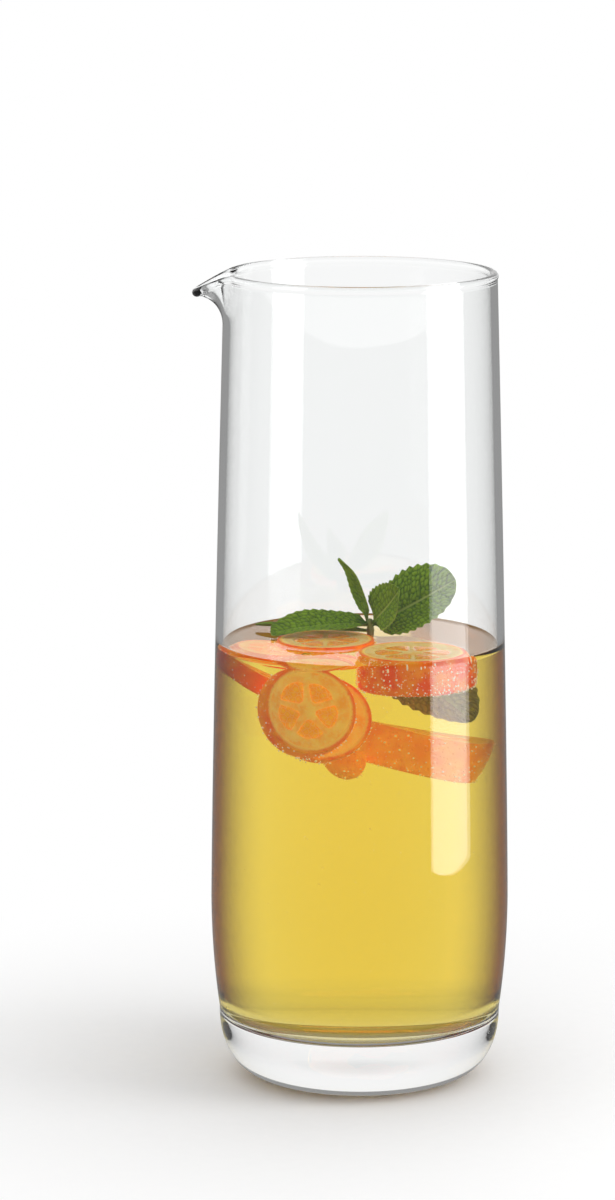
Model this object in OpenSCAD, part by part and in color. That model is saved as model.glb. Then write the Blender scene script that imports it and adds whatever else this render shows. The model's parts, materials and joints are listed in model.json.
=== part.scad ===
// Cocktail pitcher without a handle: one piece of clear glass with a heavy
// foot and a pulled pouring lip, filled with a golden drink in which slices
// of kumquat and a sprig of mint float.
// The glass stands on the plane z = 0 with its axis on Z, and its lip points
// along -X.

/* [Glass] */
// Height of the glass from the table to the rim
glass_h = 245; // [225:1:265]
// Outside radius at the belly, the widest place
belly_r = 45; // [42:0.5:50]
// Height of the belly above the table
belly_z = 55; // [45:1:65]
// Outside radius at the rim
rim_r = 40.6; // [38:0.2:44]
// Thickness of the side wall
wall_t = 2.2; // [1.6:0.1:3]
// Thickness of the bottom under the drink
floor_t = 17; // [12:0.5:22]
// Radius of the rounding between the floor and the side inside
floor_corner_r = 10; // [6:0.5:14]
// Radius of the flat face that the glass stands on
foot_r = 27; // [23:0.5:31]
// Outside radius at the top of the rounded foot
knee_r = 42.6; // [40:0.2:46]
// Height of the rounded foot
knee_z = 20.5; // [16:0.5:25]
// Radius of the fire-polished bead on the rim
bead_r = 1.35; // [1.25:0.05:1.7]

/* [Pouring lip] */
// How far below the rim the wall starts to flare
lip_h = 16; // [12:0.5:24]
// How far the lip reaches out past the wall
lip_reach = 9.2; // [5:0.2:11]
// How far the tip of the lip lies below the rim
lip_drop = 5; // [3:0.2:7]
// Angle on each side of the tip that the flare takes up
lip_half_angle = 42; // [32:1:55]

/* [Drink] */
// Height of the drink's surface above the table
drink_level = 133.5; // [120:0.5:150]
// How far the surface climbs up the glass
meniscus_h = 1.2; // [0.6:0.1:2]

/* [Kumquats] */
// Half the length of a whole fruit
fruit_half_len = 21; // [19:0.5:26]
// Thickness of the peel
peel_t = 1.7; // [1.2:0.1:2.4]
// Thickness of the skin between two segments
membrane_t = 0.9; // [0.6:0.1:1.4]
// Radius of the core where the segments meet
core_r = 1.6; // [1.2:0.1:2.4]
// Radius of the slice that floats in front
front_float_r = 16.2; // [14:0.2:17.4]
// Thickness of the slice that floats in front
front_float_t = 10.5; // [8.5:0.5:12.5]
// Radius of the slice that floats under the mint
rear_float_r = 14.8; // [13:0.2:16]
// Thickness of the slice that floats under the mint
rear_float_t = 6; // [4.6:0.2:7.4]
// Radius of the upright slice that faces the front
upright_r = 13.6; // [12:0.2:15]
// Thickness of the upright slice
upright_t = 7; // [5.5:0.5:8.5]
// How far the upright slice was cut from the middle of its fruit
upright_cut = 2; // [0:0.5:5]
// Radius of the slice tucked behind the upright one
tucked_r = 13; // [11:0.2:14]
// Thickness of the slice tucked behind the upright one
tucked_t = 6; // [4.5:0.5:7.5]
// Radius of the slice that leans on the left wall
leaning_r = 11.6; // [10:0.2:13]
// Thickness of the leaning slice
leaning_t = 6; // [4.5:0.5:7.5]
// Radius of the slice that has sunk on the right
sunk_r = 14; // [12:0.2:15.4]
// Thickness of the sunk slice
sunk_t = 12; // [9:0.5:14]
// Radius of the cut face of the fruit's end
end_cap_r = 5; // [4:0.2:6.4]
// Height of the fruit's end
end_cap_t = 7; // [5:0.5:8.5]

/* [Mint] */
// Thickness of a leaf
leaf_t = 0.7; // [0.5:0.1:1]
// Length of the leaf that lies on the rear slice
left_leaf_len = 29; // [24:0.5:33]
// Width of the leaf that lies on the rear slice
left_leaf_w = 15; // [12:0.5:18]
// Length of the broad leaf that stands on the right
broad_leaf_len = 29; // [25:0.5:33]
// Width of the broad leaf
broad_leaf_w = 22; // [18:0.5:24]
// Length of the slim leaf that points up
slim_leaf_len = 23; // [19:0.5:26]
// Width of the slim leaf
slim_leaf_w = 7.5; // [6:0.5:9]
// Length of the young leaf in front of the broad one
young_leaf_len = 17; // [14:0.5:19]
// Width of the young leaf
young_leaf_w = 15; // [12:0.5:17]
// Length of the leaf that floats behind
rear_leaf_len = 35; // [28:0.5:37]
// Width of the leaf that floats behind
rear_leaf_w = 6; // [4.5:0.5:8]
// Length of the leaf that hangs down into the drink
hanging_leaf_len = 30; // [25:0.5:33]
// Width of the leaf that hangs down into the drink
hanging_leaf_w = 19; // [15:0.5:21]
// Length of the stem
stem_len = 9; // [7:0.5:12]
// How far the stem dips into the drink
stem_dip = 4; // [2:0.5:6]
// Radius of the stem at its foot
stem_r = 1.1; // [0.8:0.1:1.4]

/* [Hidden] */
$fn = 96;

// Room left around a piece that lies loose in the drink
float_gap = 0.4;
// Film of drink left between a loose piece's room and the glass
wall_film = 0.6;
// Distance kept between a loose piece and the glass
wall_gap = float_gap + wall_film;
// How far the front and the rear floating slice stand above the surface
front_float_proud = 0.35;
rear_float_proud = 0.6;
// Overrun of every cut
cut_over = 1;
// Depth of the step where the pulled lip meets the turned glass
seam_step = 0.3;
// How far the pulled lip is let into the turned glass
seam_weld = 0.5;
// Angle by which the pulled lip is let into the turned glass
seam_weld_angle = 0.8;
// How far down the wall the meniscus starts to thin out
meniscus_w = 1;

// Share by which the wall's taper above the belly is bowed
taper_bow_share = 1.25;
// Share by which the rounding of the foot is squared off
foot_square_share = 0.87;
// Steps along the wall, the foot, the corner and the bead
wall_steps = 14;
knee_steps = 7;
foot_steps = 10;
corner_steps = 8;
bead_steps = 8;
// Steps along the flare of the lip and around it
flare_steps = 9;
lip_steps = 34;
// How sharply the lip narrows to its tip
lip_sharpness = 16;
// How much closer together the steps lie at the tip
lip_crowding_share = 1.5;

// Outside radius of the glass at a height above the table
function outer_r(z) =
    z >= belly_z
    ? belly_r - (belly_r - rim_r) * pow((z - belly_z) / (glass_h - belly_z), taper_bow_share)
    : belly_r - (belly_r - knee_r) * pow((belly_z - z) / (belly_z - knee_z), 2);

// Inside radius of the glass at a height above its rounded floor
function inner_r(z) = outer_r(z) - wall_t;

function mix(a, b, share) = a + (b - a) * share;
function polar(r, angle) = [r * cos(angle), r * sin(angle)];

bead_turn = acos(wall_t / 2 / bead_r);
bead_z = glass_h - bead_r;
wall_top_z = bead_z - bead_r * sin(bead_turn);
floor_corner_z = floor_t + floor_corner_r;
lip_z = glass_h - lip_h;

foot_points = [for (i = [0:foot_steps])
    let (turn = 90 * i / foot_steps)
    [mix(foot_r, knee_r, pow(sin(turn), foot_square_share)),
     knee_z - knee_z * pow(cos(turn), foot_square_share)]];
knee_points = [for (i = [1:knee_steps])
    let (z = mix(knee_z, belly_z, i / knee_steps)) [outer_r(z), z]];
wall_points = [for (i = [1:wall_steps])
    let (z = mix(belly_z, wall_top_z, i / wall_steps)) [outer_r(z), z]];
bead_points = [for (i = [1:bead_steps - 1])
    let (turn = mix(-bead_turn, 180 + bead_turn, i / bead_steps))
    [rim_r - wall_t / 2, bead_z] + polar(bead_r, turn)];
inside_points = concat(
    [for (i = [0:wall_steps])
        let (z = mix(wall_top_z, belly_z, i / wall_steps)) [inner_r(z), z]],
    [for (i = [1:knee_steps])
        let (z = mix(belly_z, floor_corner_z, i / knee_steps)) [inner_r(z), z]]);
corner_points = [for (i = [1:corner_steps])
    [inner_r(floor_corner_z) - floor_corner_r, floor_corner_z]
    + polar(floor_corner_r, -90 * i / corner_steps)];

// Places of the pieces in the drink
drink_r = inner_r(drink_level);
front_float_bottom_z = drink_level + front_float_proud - front_float_t;
rear_float_bottom_z = drink_level + rear_float_proud - rear_float_t;

front_float_angle = -50.5;
front_float_xy = polar(drink_r - front_float_r - wall_gap, front_float_angle);
front_float_at = [front_float_xy.x, front_float_xy.y, front_float_bottom_z + front_float_t / 2];
front_float_turn = [0, 0, 0];

rear_float_angle = 145;
rear_float_xy = front_float_xy + polar(front_float_r + rear_float_r + float_gap, rear_float_angle);
rear_float_at = [rear_float_xy.x, rear_float_xy.y, rear_float_bottom_z + rear_float_t / 2];
rear_float_turn = [0, 0, 0];

upright_swing = 10;
upright_tilt = 72;
upright_turn = [0, upright_tilt, upright_swing - 90];
upright_rise = upright_r * sin(upright_tilt) + upright_t / 2 * cos(upright_tilt);
upright_steps = 12;
upright_look_angle = 60;
tucked_shift_share = 0.42;
tucked_drop_share = 0.1;
tucked_back = upright_t / 2 + tucked_t / 2 + float_gap;
tucked_rise = (1 - tucked_drop_share) * tucked_r * sin(upright_tilt)
    + (tucked_t / 2 - tucked_back) * cos(upright_tilt);

// The upright slice reaches as high in front of the rear one as it stays clear of it
upright_at = upright_place(max([for (i = [0:upright_steps])
    let (top_z = mix(rear_float_bottom_z - float_gap, drink_level - 2 * wall_gap, i / upright_steps),
         at = upright_place(top_z))
    if (i == 0 || (upright_room(at) >= float_gap && at.z + tucked_rise <= rear_float_bottom_z - float_gap))
        top_z]));

// Place of the upright slice whose highest point is at a height, between the front
// slice and the wall
function upright_place(top_z) =
    let (z = top_z - upright_rise,
         under = max(0, front_float_bottom_z - float_gap - z - upright_t / 2 * cos(upright_tilt)),
         half = sqrt(max(0, pow(upright_r, 2) - pow(under / sin(upright_tilt), 2))),
         x = front_float_xy.x - front_float_r - float_gap - half * cos(upright_swing)
             - upright_t / 2 * sin(upright_swing),
         corner_x = x - upright_r * cos(upright_swing) + upright_t / 2 * sin(upright_swing))
    [x, upright_r * sin(upright_swing) + upright_t / 2 * cos(upright_swing) + wall_gap
        - sqrt(pow(inner_r(z), 2) - pow(corner_x, 2)), z];

// Least distance of the upright slice's rear edge from the side of the rear slice,
// where it is not below it
function upright_room(at) = min([for (turn = [-upright_look_angle:upright_steps / 2:upright_look_angle])
    let (up = upright_r * cos(turn), side = upright_r * sin(turn),
         lean = up * cos(upright_tilt) + upright_t / 2 * sin(upright_tilt),
         z = at.z + up * sin(upright_tilt) - upright_t / 2 * cos(upright_tilt),
         way = [side * cos(upright_swing) - lean * sin(upright_swing),
             side * sin(upright_swing) + lean * cos(upright_swing)])
    z < rear_float_bottom_z - float_gap ? rear_float_r
        : norm([at.x, at.y] + way - rear_float_xy) - rear_float_r]);

tucked_turn = upright_turn;
tucked_at = upright_at
    + tucked_back * [-sin(upright_tilt) * sin(upright_swing), sin(upright_tilt) * cos(upright_swing),
        -cos(upright_tilt)]
    + tucked_shift_share * tucked_r * [cos(upright_swing), sin(upright_swing), 0]
    + tucked_drop_share * tucked_r * [cos(upright_tilt) * sin(upright_swing),
        -cos(upright_tilt) * cos(upright_swing), -sin(upright_tilt)];

// The leaning slice follows the wall round, clear of the upright and tucked ones
leaning_tilt = 26;
leaning_turn = [0, leaning_tilt, 0];
leaning_out = inner_r(drink_level) - leaning_r * cos(leaning_tilt) - leaning_t / 2 * sin(leaning_tilt)
    - wall_gap;
leaning_clear_shares = [0.82, 0.64];
leaning_angle = min(
    clear_angle(upright_at, leaning_r + leaning_clear_shares.x * upright_r + wall_gap),
    clear_angle(tucked_at, leaning_r + leaning_clear_shares.y * tucked_r + wall_gap));
leaning_xy = polar(leaning_out, leaning_angle);
leaning_under = leaning_xy.x - rear_float_xy.x + rear_float_r;
leaning_z = min(
    drink_level - wall_gap - leaning_r * sin(leaning_tilt) - leaning_t / 2 * cos(leaning_tilt),
    rear_float_bottom_z - float_gap - leaning_t / 2 / cos(leaning_tilt)
        - leaning_under * tan(leaning_tilt));
leaning_at = [leaning_xy.x, leaning_xy.y, leaning_z];
function clear_angle(at, keep) = atan2(at.y, at.x)
    - acos((pow(at.x, 2) + pow(at.y, 2) + pow(leaning_out, 2) - pow(keep, 2))
        / (2 * norm([at.x, at.y]) * leaning_out));

// Places of the mint: the stem stands beside the rear slice, and each leaf has its
// height above the stem's foot, then its roll, pitch and heading
stem_angle = 35;
stem_xy = rear_float_xy + polar(rear_float_r + float_gap + stem_r, stem_angle);
stem_z = drink_level - stem_dip;
stem_taper_share = 0.7;
leaf_seat_gap = 0.3;
left_leaf_up = 7.5;
broad_leaf_up = 7.5;
slim_leaf_up = 8.1;
young_leaf_up = 8.4;
rear_leaf_up = 5.6;
hanging_leaf_up = 1.8;
highest_seat_shares = [0.95, 0.9, 0.96, 0.97];
left_leaf_up_share = min(highest_seat_shares[0], left_leaf_up / stem_len);
broad_leaf_up_share = min(highest_seat_shares[1], broad_leaf_up / stem_len);
slim_leaf_up_share = min(highest_seat_shares[2], slim_leaf_up / stem_len);
young_leaf_up_share = min(highest_seat_shares[3], young_leaf_up / stem_len);
rear_leaf_up_share = rear_leaf_up / stem_len;
hanging_leaf_up_share = hanging_leaf_up / stem_len;
broad_leaf_turn = [54, -27, -8];
slim_leaf_turn = [-100, -87, 135];
young_leaf_turn = [74, -42, -37];
rear_leaf_angle = 165;
rear_leaf_room = wall_room(stem_xy, rear_leaf_angle, inner_r(stem_z + stem_len)) - rear_leaf_w / 2;
rear_leaf_lift = acos(min(1, rear_leaf_room / rear_leaf_len));
rear_leaf_turn = [0, 1 - rear_leaf_lift, rear_leaf_angle];
left_leaf_turn = [-16, -2 - rear_leaf_lift, 188];
function wall_room(from, angle, wall_r) =
    let (way = polar(1, angle), along = from * way)
    sqrt(pow(wall_r, 2) - from * from + pow(along, 2)) - along;
hanging_leaf_turn = [-90, 48, -13];
hanging_tip_z = stem_z + hanging_leaf_up - hanging_leaf_len * sin(hanging_leaf_turn.y);

// The sunk slice lies below the hanging leaf, and the fruit's end beside it, clear
// of the tucked slice
sunk_turn = [0, 20, 24];
sunk_place_shares = [0.32, 0.2, 0.745];
sunk_below_share = 0.68;
sunk_at = [sunk_place_shares.x * drink_r, sunk_place_shares.y * drink_r,
    min(sunk_place_shares.z * drink_level, hanging_tip_z - sunk_below_share * sunk_r)];

end_cap_turn = [0, 150, -60];
end_cap_rise_share = 0.06;
end_cap_angle = 214;
end_cap_least_angle = 150;
end_cap_steps = 16;
end_cap_at = end_cap_place(max([for (i = [0:end_cap_steps])
    let (angle = mix(end_cap_least_angle, end_cap_angle, i / end_cap_steps))
    if (i == 0 || end_cap_room(end_cap_place(angle)) >= end_cap_r + end_cap_t / 2) angle]));
function end_cap_place(angle) =
    let (xy = polar(sunk_r + end_cap_r + 2 * float_gap + wall_film, angle))
    sunk_at + [xy.x, xy.y, end_cap_rise_share * sunk_r];
function end_cap_room(at) = (at - tucked_at) * [-sin(upright_tilt) * sin(upright_swing),
    sin(upright_tilt) * cos(upright_swing), -cos(upright_tilt)] - tucked_t / 2;

// How far each leaf bends up along its midrib
left_leaf_bend = -14;
broad_leaf_bend = 12;
slim_leaf_bend = 50;
young_leaf_bend = 20;
rear_leaf_bend = 1;
hanging_leaf_bend = 8;

// Form of a leaf: steps along it and to each side, teeth and their depth, its
// fold along the midrib and its narrow base
leaf_steps = 22;
leaf_side_steps = 3;
leaf_teeth = 11;
leaf_tooth_share = 0.07;
leaf_fold = 16;
leaf_base_share = 0.06;

// Outlines of a full, a blunt and a slender leaf: where it is broadest, how round
// it is, and where its stalk ends
full_leaf_shares = [1.1, 0.4, 0.08];
blunt_leaf_shares = [1.15, 0.3, 0.05];
slender_leaf_shares = [0.8, 0.55, 0.16];

// Form of a slice: steps along its side and along the arc of a segment, the
// share of the flesh that the segments reach out to, and the pulp of the end
slice_steps = 8;
segment_arc_steps = 5;
segment_reach_share = 0.8;
cap_pulp_h_share = 0.35;
cap_pulp_r_share = 0.72;

// Segments in each slice
front_float_segments = 6;
rear_float_segments = 6;
upright_segments = 5;
tucked_segments = 5;
leaning_segments = 5;
sunk_segments = 6;

// The glass

// Slope of the wall's middle line at the height s where the flare has the weight w
function flare_turn(s) = 90 * max(0, min(1, (s - lip_z) / (bead_z - lip_z)));
function flare_rate() = PI / 2 / (bead_z - lip_z);
function flare_rise() = bead_z - lip_z - lip_drop;
function flare_middle(s, w) =
    let (turn = flare_turn(s))
    [outer_r(s) - wall_t / 2 + w * lip_reach * (1 - cos(turn)),
     s < lip_z ? s : mix(s, lip_z + flare_rise() * sin(turn), w)];
function flare_along(s, w) =
    let (turn = flare_turn(s),
         step = s < lip_z ? [0, 1] : [w * lip_reach * sin(turn) * flare_rate(),
             mix(1, flare_rise() * cos(turn) * flare_rate(), w)])
    step / norm(step);
// A point across the wall by q and past the end of its middle line by p
function flare_point(s, q, p, w) =
    let (along = flare_along(s, w))
    flare_middle(s, w) + q * [along.y, -along.x] + p * along;

// Section of the pulled lip as heights along the wall, offsets across it and past its end
lip_half_t = wall_t / 2 - seam_step;
lip_bead_r = bead_r - seam_step;
lip_section = concat(
    [for (i = [0:flare_steps]) [mix(lip_z - seam_weld, wall_top_z, i / flare_steps), lip_half_t, 0]],
    [for (i = [1:bead_steps - 1])
        let (turn = mix(-bead_turn, 180 + bead_turn, i / bead_steps))
        [bead_z, lip_bead_r * cos(turn), lip_bead_r * sin(turn)]],
    [for (i = [0:flare_steps]) [mix(wall_top_z, lip_z - seam_weld, i / flare_steps), -lip_half_t, 0]]);

function lip_angle(i) =
    let (share = 2 * i / lip_steps - 1)
    (lip_half_angle + seam_weld_angle) * sign(share) * pow(abs(share), lip_crowding_share);
function lip_weight(angle) =
    abs(angle) >= lip_half_angle ? 0 : pow(cos(90 * angle / lip_half_angle), lip_sharpness);

module pulled_lip() {
    count = len(lip_section);
    points = [for (i = [0:lip_steps])
        let (angle = lip_angle(i), w = lip_weight(angle))
        for (p = lip_section)
            let (place = flare_point(p[0], p[1], p[2], w))
            [-place.x * cos(angle), place.x * sin(angle), place.y]];
    sides = [for (i = [0:lip_steps - 1], k = [0:count - 1])
        let (a = i * count + k, b = i * count + (k + 1) % count)
        each [[b, a, b + count], [b + count, a, a + count]]];
    ends = [[for (k = [0:count - 1]) k],
        [for (k = [0:count - 1]) lip_steps * count + count - 1 - k]];
    polyhedron(points, concat(sides, ends), convexity = 6);
}

module lip_window() {
    reach = belly_r / cos(lip_half_angle);
    translate([0, 0, lip_z])
        linear_extrude(glass_h - lip_z + cut_over)
            polygon([[0, 0], -polar(reach, lip_half_angle), -polar(reach, -lip_half_angle)]);
}

module glass() {
    color("aliceblue", 0.35) union() {
        difference() {
            rotate_extrude()
                polygon(concat([[0, 0]], foot_points, knee_points, wall_points, bead_points,
                    inside_points, corner_points, [[0, floor_t]]));
            lip_window();
        }
        pulled_lip();
    }
}

// The drink

drink_points = concat(
    [[0, drink_level], [drink_r - meniscus_w, drink_level],
     [inner_r(drink_level + meniscus_h), drink_level + meniscus_h], [drink_r, drink_level]],
    [for (p = inside_points) if (p.y < drink_level) p],
    corner_points,
    [[0, floor_t]]);

module drink() {
    color("goldenrod", 0.6) difference() {
        rotate_extrude() polygon(drink_points);
        at_front_float() slice_room(front_float_r, front_float_t, 0);
        at_rear_float() slice_room(rear_float_r, rear_float_t, 0);
        at_upright() slice_room(upright_r, upright_t, upright_cut);
        at_tucked() slice_room(tucked_r, tucked_t, 0);
        at_leaning() slice_room(leaning_r, leaning_t, 0);
        at_sunk() slice_room(sunk_r, sunk_t, 0);
        at_end_cap() cap_room();
        stem_room();
        on_stem(hanging_leaf_up_share, hanging_leaf_turn)
            leaf_blade(hanging_leaf_len, hanging_leaf_w, hanging_leaf_bend, slender_leaf_shares,
                float_gap);
    }
}

// The kumquats

// Radius of a fruit cut at a distance s from its middle
function fruit_r(r, s) = r * sqrt(1 - pow(s / fruit_half_len, 2));

// Outline of a slice from its axis outwards, made smaller by inset
function slice_side(r, t, cut, inset) = [for (i = [0:slice_steps])
    let (s = mix(-t / 2, t / 2, i / slice_steps)) [fruit_r(r, s + cut) - inset, s]];

module slice_peel(r, t, cut) {
    outside = slice_side(r, t, cut, 0);
    inside = slice_side(r, t, cut, peel_t);
    rotate_extrude()
        polygon(concat(outside, [for (i = [0:slice_steps]) inside[slice_steps - i]]));
}

module slice_pith(r, t, cut, segments) {
    difference() {
        rotate_extrude()
            polygon(concat([[0, -t / 2]], slice_side(r, t, cut, peel_t), [[0, t / 2]]));
        translate([0, 0, -cut_over]) slice_segments(r, t + 2 * cut_over, t, cut, segments);
    }
}

// Wedges of pulp between the membranes of a slice, h high and t thick at the cut
module slice_segments(r, h, t, cut, segments) {
    half = 180 / segments;
    reach = segment_reach_share * (min(fruit_r(r, cut - t / 2), fruit_r(r, cut + t / 2)) - peel_t);
    arc = half - asin(membrane_t / 2 / reach);
    wedge = concat([[core_r, 0]],
        [for (i = [0:segment_arc_steps]) polar(reach, mix(-arc, arc, i / segment_arc_steps))]);
    for (k = [0:segments - 1])
        rotate([0, 0, 2 * half * k])
            translate([0, 0, -t / 2])
                linear_extrude(h) polygon(wedge);
}

// Space that a slice takes up in the drink
module slice_room(r, t, cut) {
    side = slice_side(r, t, cut, -float_gap);
    bottom = [side[0].x, -t / 2 - float_gap];
    top = [side[slice_steps].x, t / 2 + float_gap];
    rotate_extrude() polygon(concat([[0, bottom.y], bottom], side, [top, [0, top.y]]));
}

// The rounded end of a fruit, its cut face at z = 0 and its skin above
function cap_side(inset) = [for (i = [0:slice_steps])
    let (turn = 90 * i / slice_steps)
    [(end_cap_r - inset) * cos(turn), (end_cap_t - inset) * sin(turn)]];

module cap_peel() {
    outside = cap_side(0);
    inside = cap_side(peel_t);
    rotate_extrude()
        polygon(concat(outside, [for (i = [0:slice_steps]) inside[slice_steps - i]]));
}

module cap_pith() {
    difference() {
        rotate_extrude() polygon(concat([[0, 0]], cap_side(peel_t)));
        cap_pulp(cut_over);
    }
}

module cap_pulp(over) {
    translate([0, 0, -over])
        cylinder(r = cap_pulp_r_share * (end_cap_r - peel_t), h = cap_pulp_h_share * end_cap_t + over);
}

module cap_room() {
    rotate_extrude()
        polygon(concat([[0, -float_gap], [end_cap_r + float_gap, -float_gap]], cap_side(-float_gap)));
}

module at_front_float() { translate(front_float_at) rotate(front_float_turn) children(); }
module at_rear_float() { translate(rear_float_at) rotate(rear_float_turn) children(); }
module at_upright() { translate(upright_at) rotate(upright_turn) children(); }
module at_tucked() { translate(tucked_at) rotate(tucked_turn) children(); }
module at_leaning() { translate(leaning_at) rotate(leaning_turn) children(); }
module at_sunk() { translate(sunk_at) rotate(sunk_turn) children(); }
module at_end_cap() { translate(end_cap_at) rotate(end_cap_turn) children(); }

module front_float_peel() {
    color("darkorange") at_front_float() slice_peel(front_float_r, front_float_t, 0);
}

module front_float_pith() {
    color("moccasin") at_front_float() slice_pith(front_float_r, front_float_t, 0, front_float_segments);
}

module front_float_pulp() {
    color("orange") at_front_float()
        slice_segments(front_float_r, front_float_t, front_float_t, 0, front_float_segments);
}

module rear_float_peel() {
    color("darkorange") at_rear_float() slice_peel(rear_float_r, rear_float_t, 0);
}

module rear_float_pith() {
    color("moccasin") at_rear_float() slice_pith(rear_float_r, rear_float_t, 0, rear_float_segments);
}

module rear_float_pulp() {
    color("orange") at_rear_float()
        slice_segments(rear_float_r, rear_float_t, rear_float_t, 0, rear_float_segments);
}

module upright_peel() {
    color("darkorange") at_upright() slice_peel(upright_r, upright_t, upright_cut);
}

module upright_pith() {
    color("moccasin") at_upright() slice_pith(upright_r, upright_t, upright_cut, upright_segments);
}

module upright_pulp() {
    color("orange") at_upright()
        slice_segments(upright_r, upright_t, upright_t, upright_cut, upright_segments);
}

module tucked_peel() {
    color("darkorange") at_tucked() slice_peel(tucked_r, tucked_t, 0);
}

module tucked_pith() {
    color("moccasin") at_tucked() slice_pith(tucked_r, tucked_t, 0, tucked_segments);
}

module tucked_pulp() {
    color("orange") at_tucked()
        slice_segments(tucked_r, tucked_t, tucked_t, 0, tucked_segments);
}

module leaning_peel() {
    color("darkorange") at_leaning() slice_peel(leaning_r, leaning_t, 0);
}

module leaning_pith() {
    color("moccasin") at_leaning() slice_pith(leaning_r, leaning_t, 0, leaning_segments);
}

module leaning_pulp() {
    color("orange") at_leaning()
        slice_segments(leaning_r, leaning_t, leaning_t, 0, leaning_segments);
}

module sunk_peel() {
    color("darkorange") at_sunk() slice_peel(sunk_r, sunk_t, 0);
}

module sunk_pith() {
    color("moccasin") at_sunk() slice_pith(sunk_r, sunk_t, 0, sunk_segments);
}

module sunk_pulp() {
    color("orange") at_sunk()
        slice_segments(sunk_r, sunk_t, sunk_t, 0, sunk_segments);
}

module end_cap_peel() {
    color("darkorange") at_end_cap() cap_peel();
}

module end_cap_pith() {
    color("moccasin") at_end_cap() cap_pith();
}

module end_cap_pulp() {
    color("orange") at_end_cap() cap_pulp(0);
}

// The mint

// Half the width of a leaf at the share u of its length, as a share of its greatest
function leaf_half(shares, u) =
    let (body = pow(max(0, sin(180 * pow(u, shares.x))), shares.y),
         tooth = abs(2 * (u * leaf_teeth - floor(u * leaf_teeth)) - 1))
    max(leaf_base_share, min(1, u / shares.z) * body * (1 - leaf_tooth_share * (1 - tooth)));

// Point of a leaf at u along it and v to the side, lifted off the blade by q
function leaf_point(len, w, bend, shares, u, v, q) =
    let (turn = bend * u, half = leaf_half(shares, u) * w / 2,
         reach = bend == 0 ? len * u : len * sin(turn) / (bend * PI / 180),
         rise = bend == 0 ? 0 : len * (1 - cos(turn)) / (bend * PI / 180),
         lift = abs(v) * half * sin(leaf_fold) + q)
    [reach - lift * sin(turn), v * half * cos(leaf_fold), rise + lift * cos(turn)];

// A leaf with its base at the origin, its midrib along X and its upper side up
module leaf_blade(len, w, bend, shares, grow) {
    rows = leaf_steps;
    cols = 2 * leaf_side_steps;
    count = (rows + 1) * (cols + 1);
    long = len + 2 * grow;
    wide = w + 2 * grow;
    points = [for (side = [1, -1], i = [0:rows], j = [0:cols])
        leaf_point(long, wide, bend, shares, i / rows, j / leaf_side_steps - 1,
            side * (leaf_t / 2 + grow)) - [grow, 0, 0]];
    function at(i, j) = i * (cols + 1) + j;
    top = [for (i = [0:rows - 1], j = [0:cols - 1])
        each [[at(i, j), at(i, j + 1), at(i + 1, j)], [at(i, j + 1), at(i + 1, j + 1), at(i + 1, j)]]];
    bottom = [for (f = top) [f[2] + count, f[1] + count, f[0] + count]];
    edge = concat(
        [for (i = [0:rows - 1]) [at(i, 0), at(i + 1, 0)]],
        [for (j = [0:cols - 1]) [at(rows, j), at(rows, j + 1)]],
        [for (i = [0:rows - 1]) [at(rows - i, cols), at(rows - i - 1, cols)]],
        [for (j = [0:cols - 1]) [at(0, cols - j), at(0, cols - j - 1)]]);
    rim = [for (e = edge) each [[e[0], e[1], e[1] + count], [e[0], e[1] + count, e[0] + count]]];
    polyhedron(points, concat(top, bottom, rim), convexity = 6);
}

// Places a leaf on the stem, at a share of its height, facing along its heading
module on_stem(up_share, turn) {
    off = mix(stem_r, stem_taper_share * stem_r, up_share) + leaf_seat_gap + leaf_t / 2;
    translate([stem_xy.x, stem_xy.y, stem_z + up_share * stem_len] + concat(polar(off, turn.z), [0]))
        rotate(turn)
            children();
}

module mint_stem() {
    color("olivedrab") translate([stem_xy.x, stem_xy.y, stem_z])
        cylinder(r1 = stem_r, r2 = stem_taper_share * stem_r, h = stem_len);
}

// Space that the stem takes up in the drink
module stem_room() {
    translate([stem_xy.x, stem_xy.y, stem_z - float_gap])
        cylinder(r = stem_r + float_gap, h = stem_len);
}

module mint_left_leaf() {
    color("forestgreen") on_stem(left_leaf_up_share, left_leaf_turn)
        leaf_blade(left_leaf_len, left_leaf_w, left_leaf_bend, blunt_leaf_shares, 0);
}

module mint_broad_leaf() {
    color("forestgreen") on_stem(broad_leaf_up_share, broad_leaf_turn)
        leaf_blade(broad_leaf_len, broad_leaf_w, broad_leaf_bend, full_leaf_shares, 0);
}

module mint_slim_leaf() {
    color("forestgreen") on_stem(slim_leaf_up_share, slim_leaf_turn)
        leaf_blade(slim_leaf_len, slim_leaf_w, slim_leaf_bend, slender_leaf_shares, 0);
}

module mint_young_leaf() {
    color("olive") on_stem(young_leaf_up_share, young_leaf_turn)
        leaf_blade(young_leaf_len, young_leaf_w, young_leaf_bend, slender_leaf_shares, 0);
}

module mint_rear_leaf() {
    color("forestgreen") on_stem(rear_leaf_up_share, rear_leaf_turn)
        leaf_blade(rear_leaf_len, rear_leaf_w, rear_leaf_bend, slender_leaf_shares, 0);
}

module mint_hanging_leaf() {
    color("darkgreen") on_stem(hanging_leaf_up_share, hanging_leaf_turn)
        leaf_blade(hanging_leaf_len, hanging_leaf_w, hanging_leaf_bend, slender_leaf_shares, 0);
}

glass();
drink();
front_float_peel();
front_float_pith();
front_float_pulp();
rear_float_peel();
rear_float_pith();
rear_float_pulp();
upright_peel();
upright_pith();
upright_pulp();
tucked_peel();
tucked_pith();
tucked_pulp();
leaning_peel();
leaning_pith();
leaning_pulp();
sunk_peel();
sunk_pith();
sunk_pulp();
end_cap_peel();
end_cap_pith();
end_cap_pulp();
mint_stem();
mint_left_leaf();
mint_broad_leaf();
mint_slim_leaf();
mint_young_leaf();
mint_rear_leaf();
mint_hanging_leaf();
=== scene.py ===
"""Dresses the cocktail pitcher: clear glass, golden drink, kumquat slices and a sprig of mint."""

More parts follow.
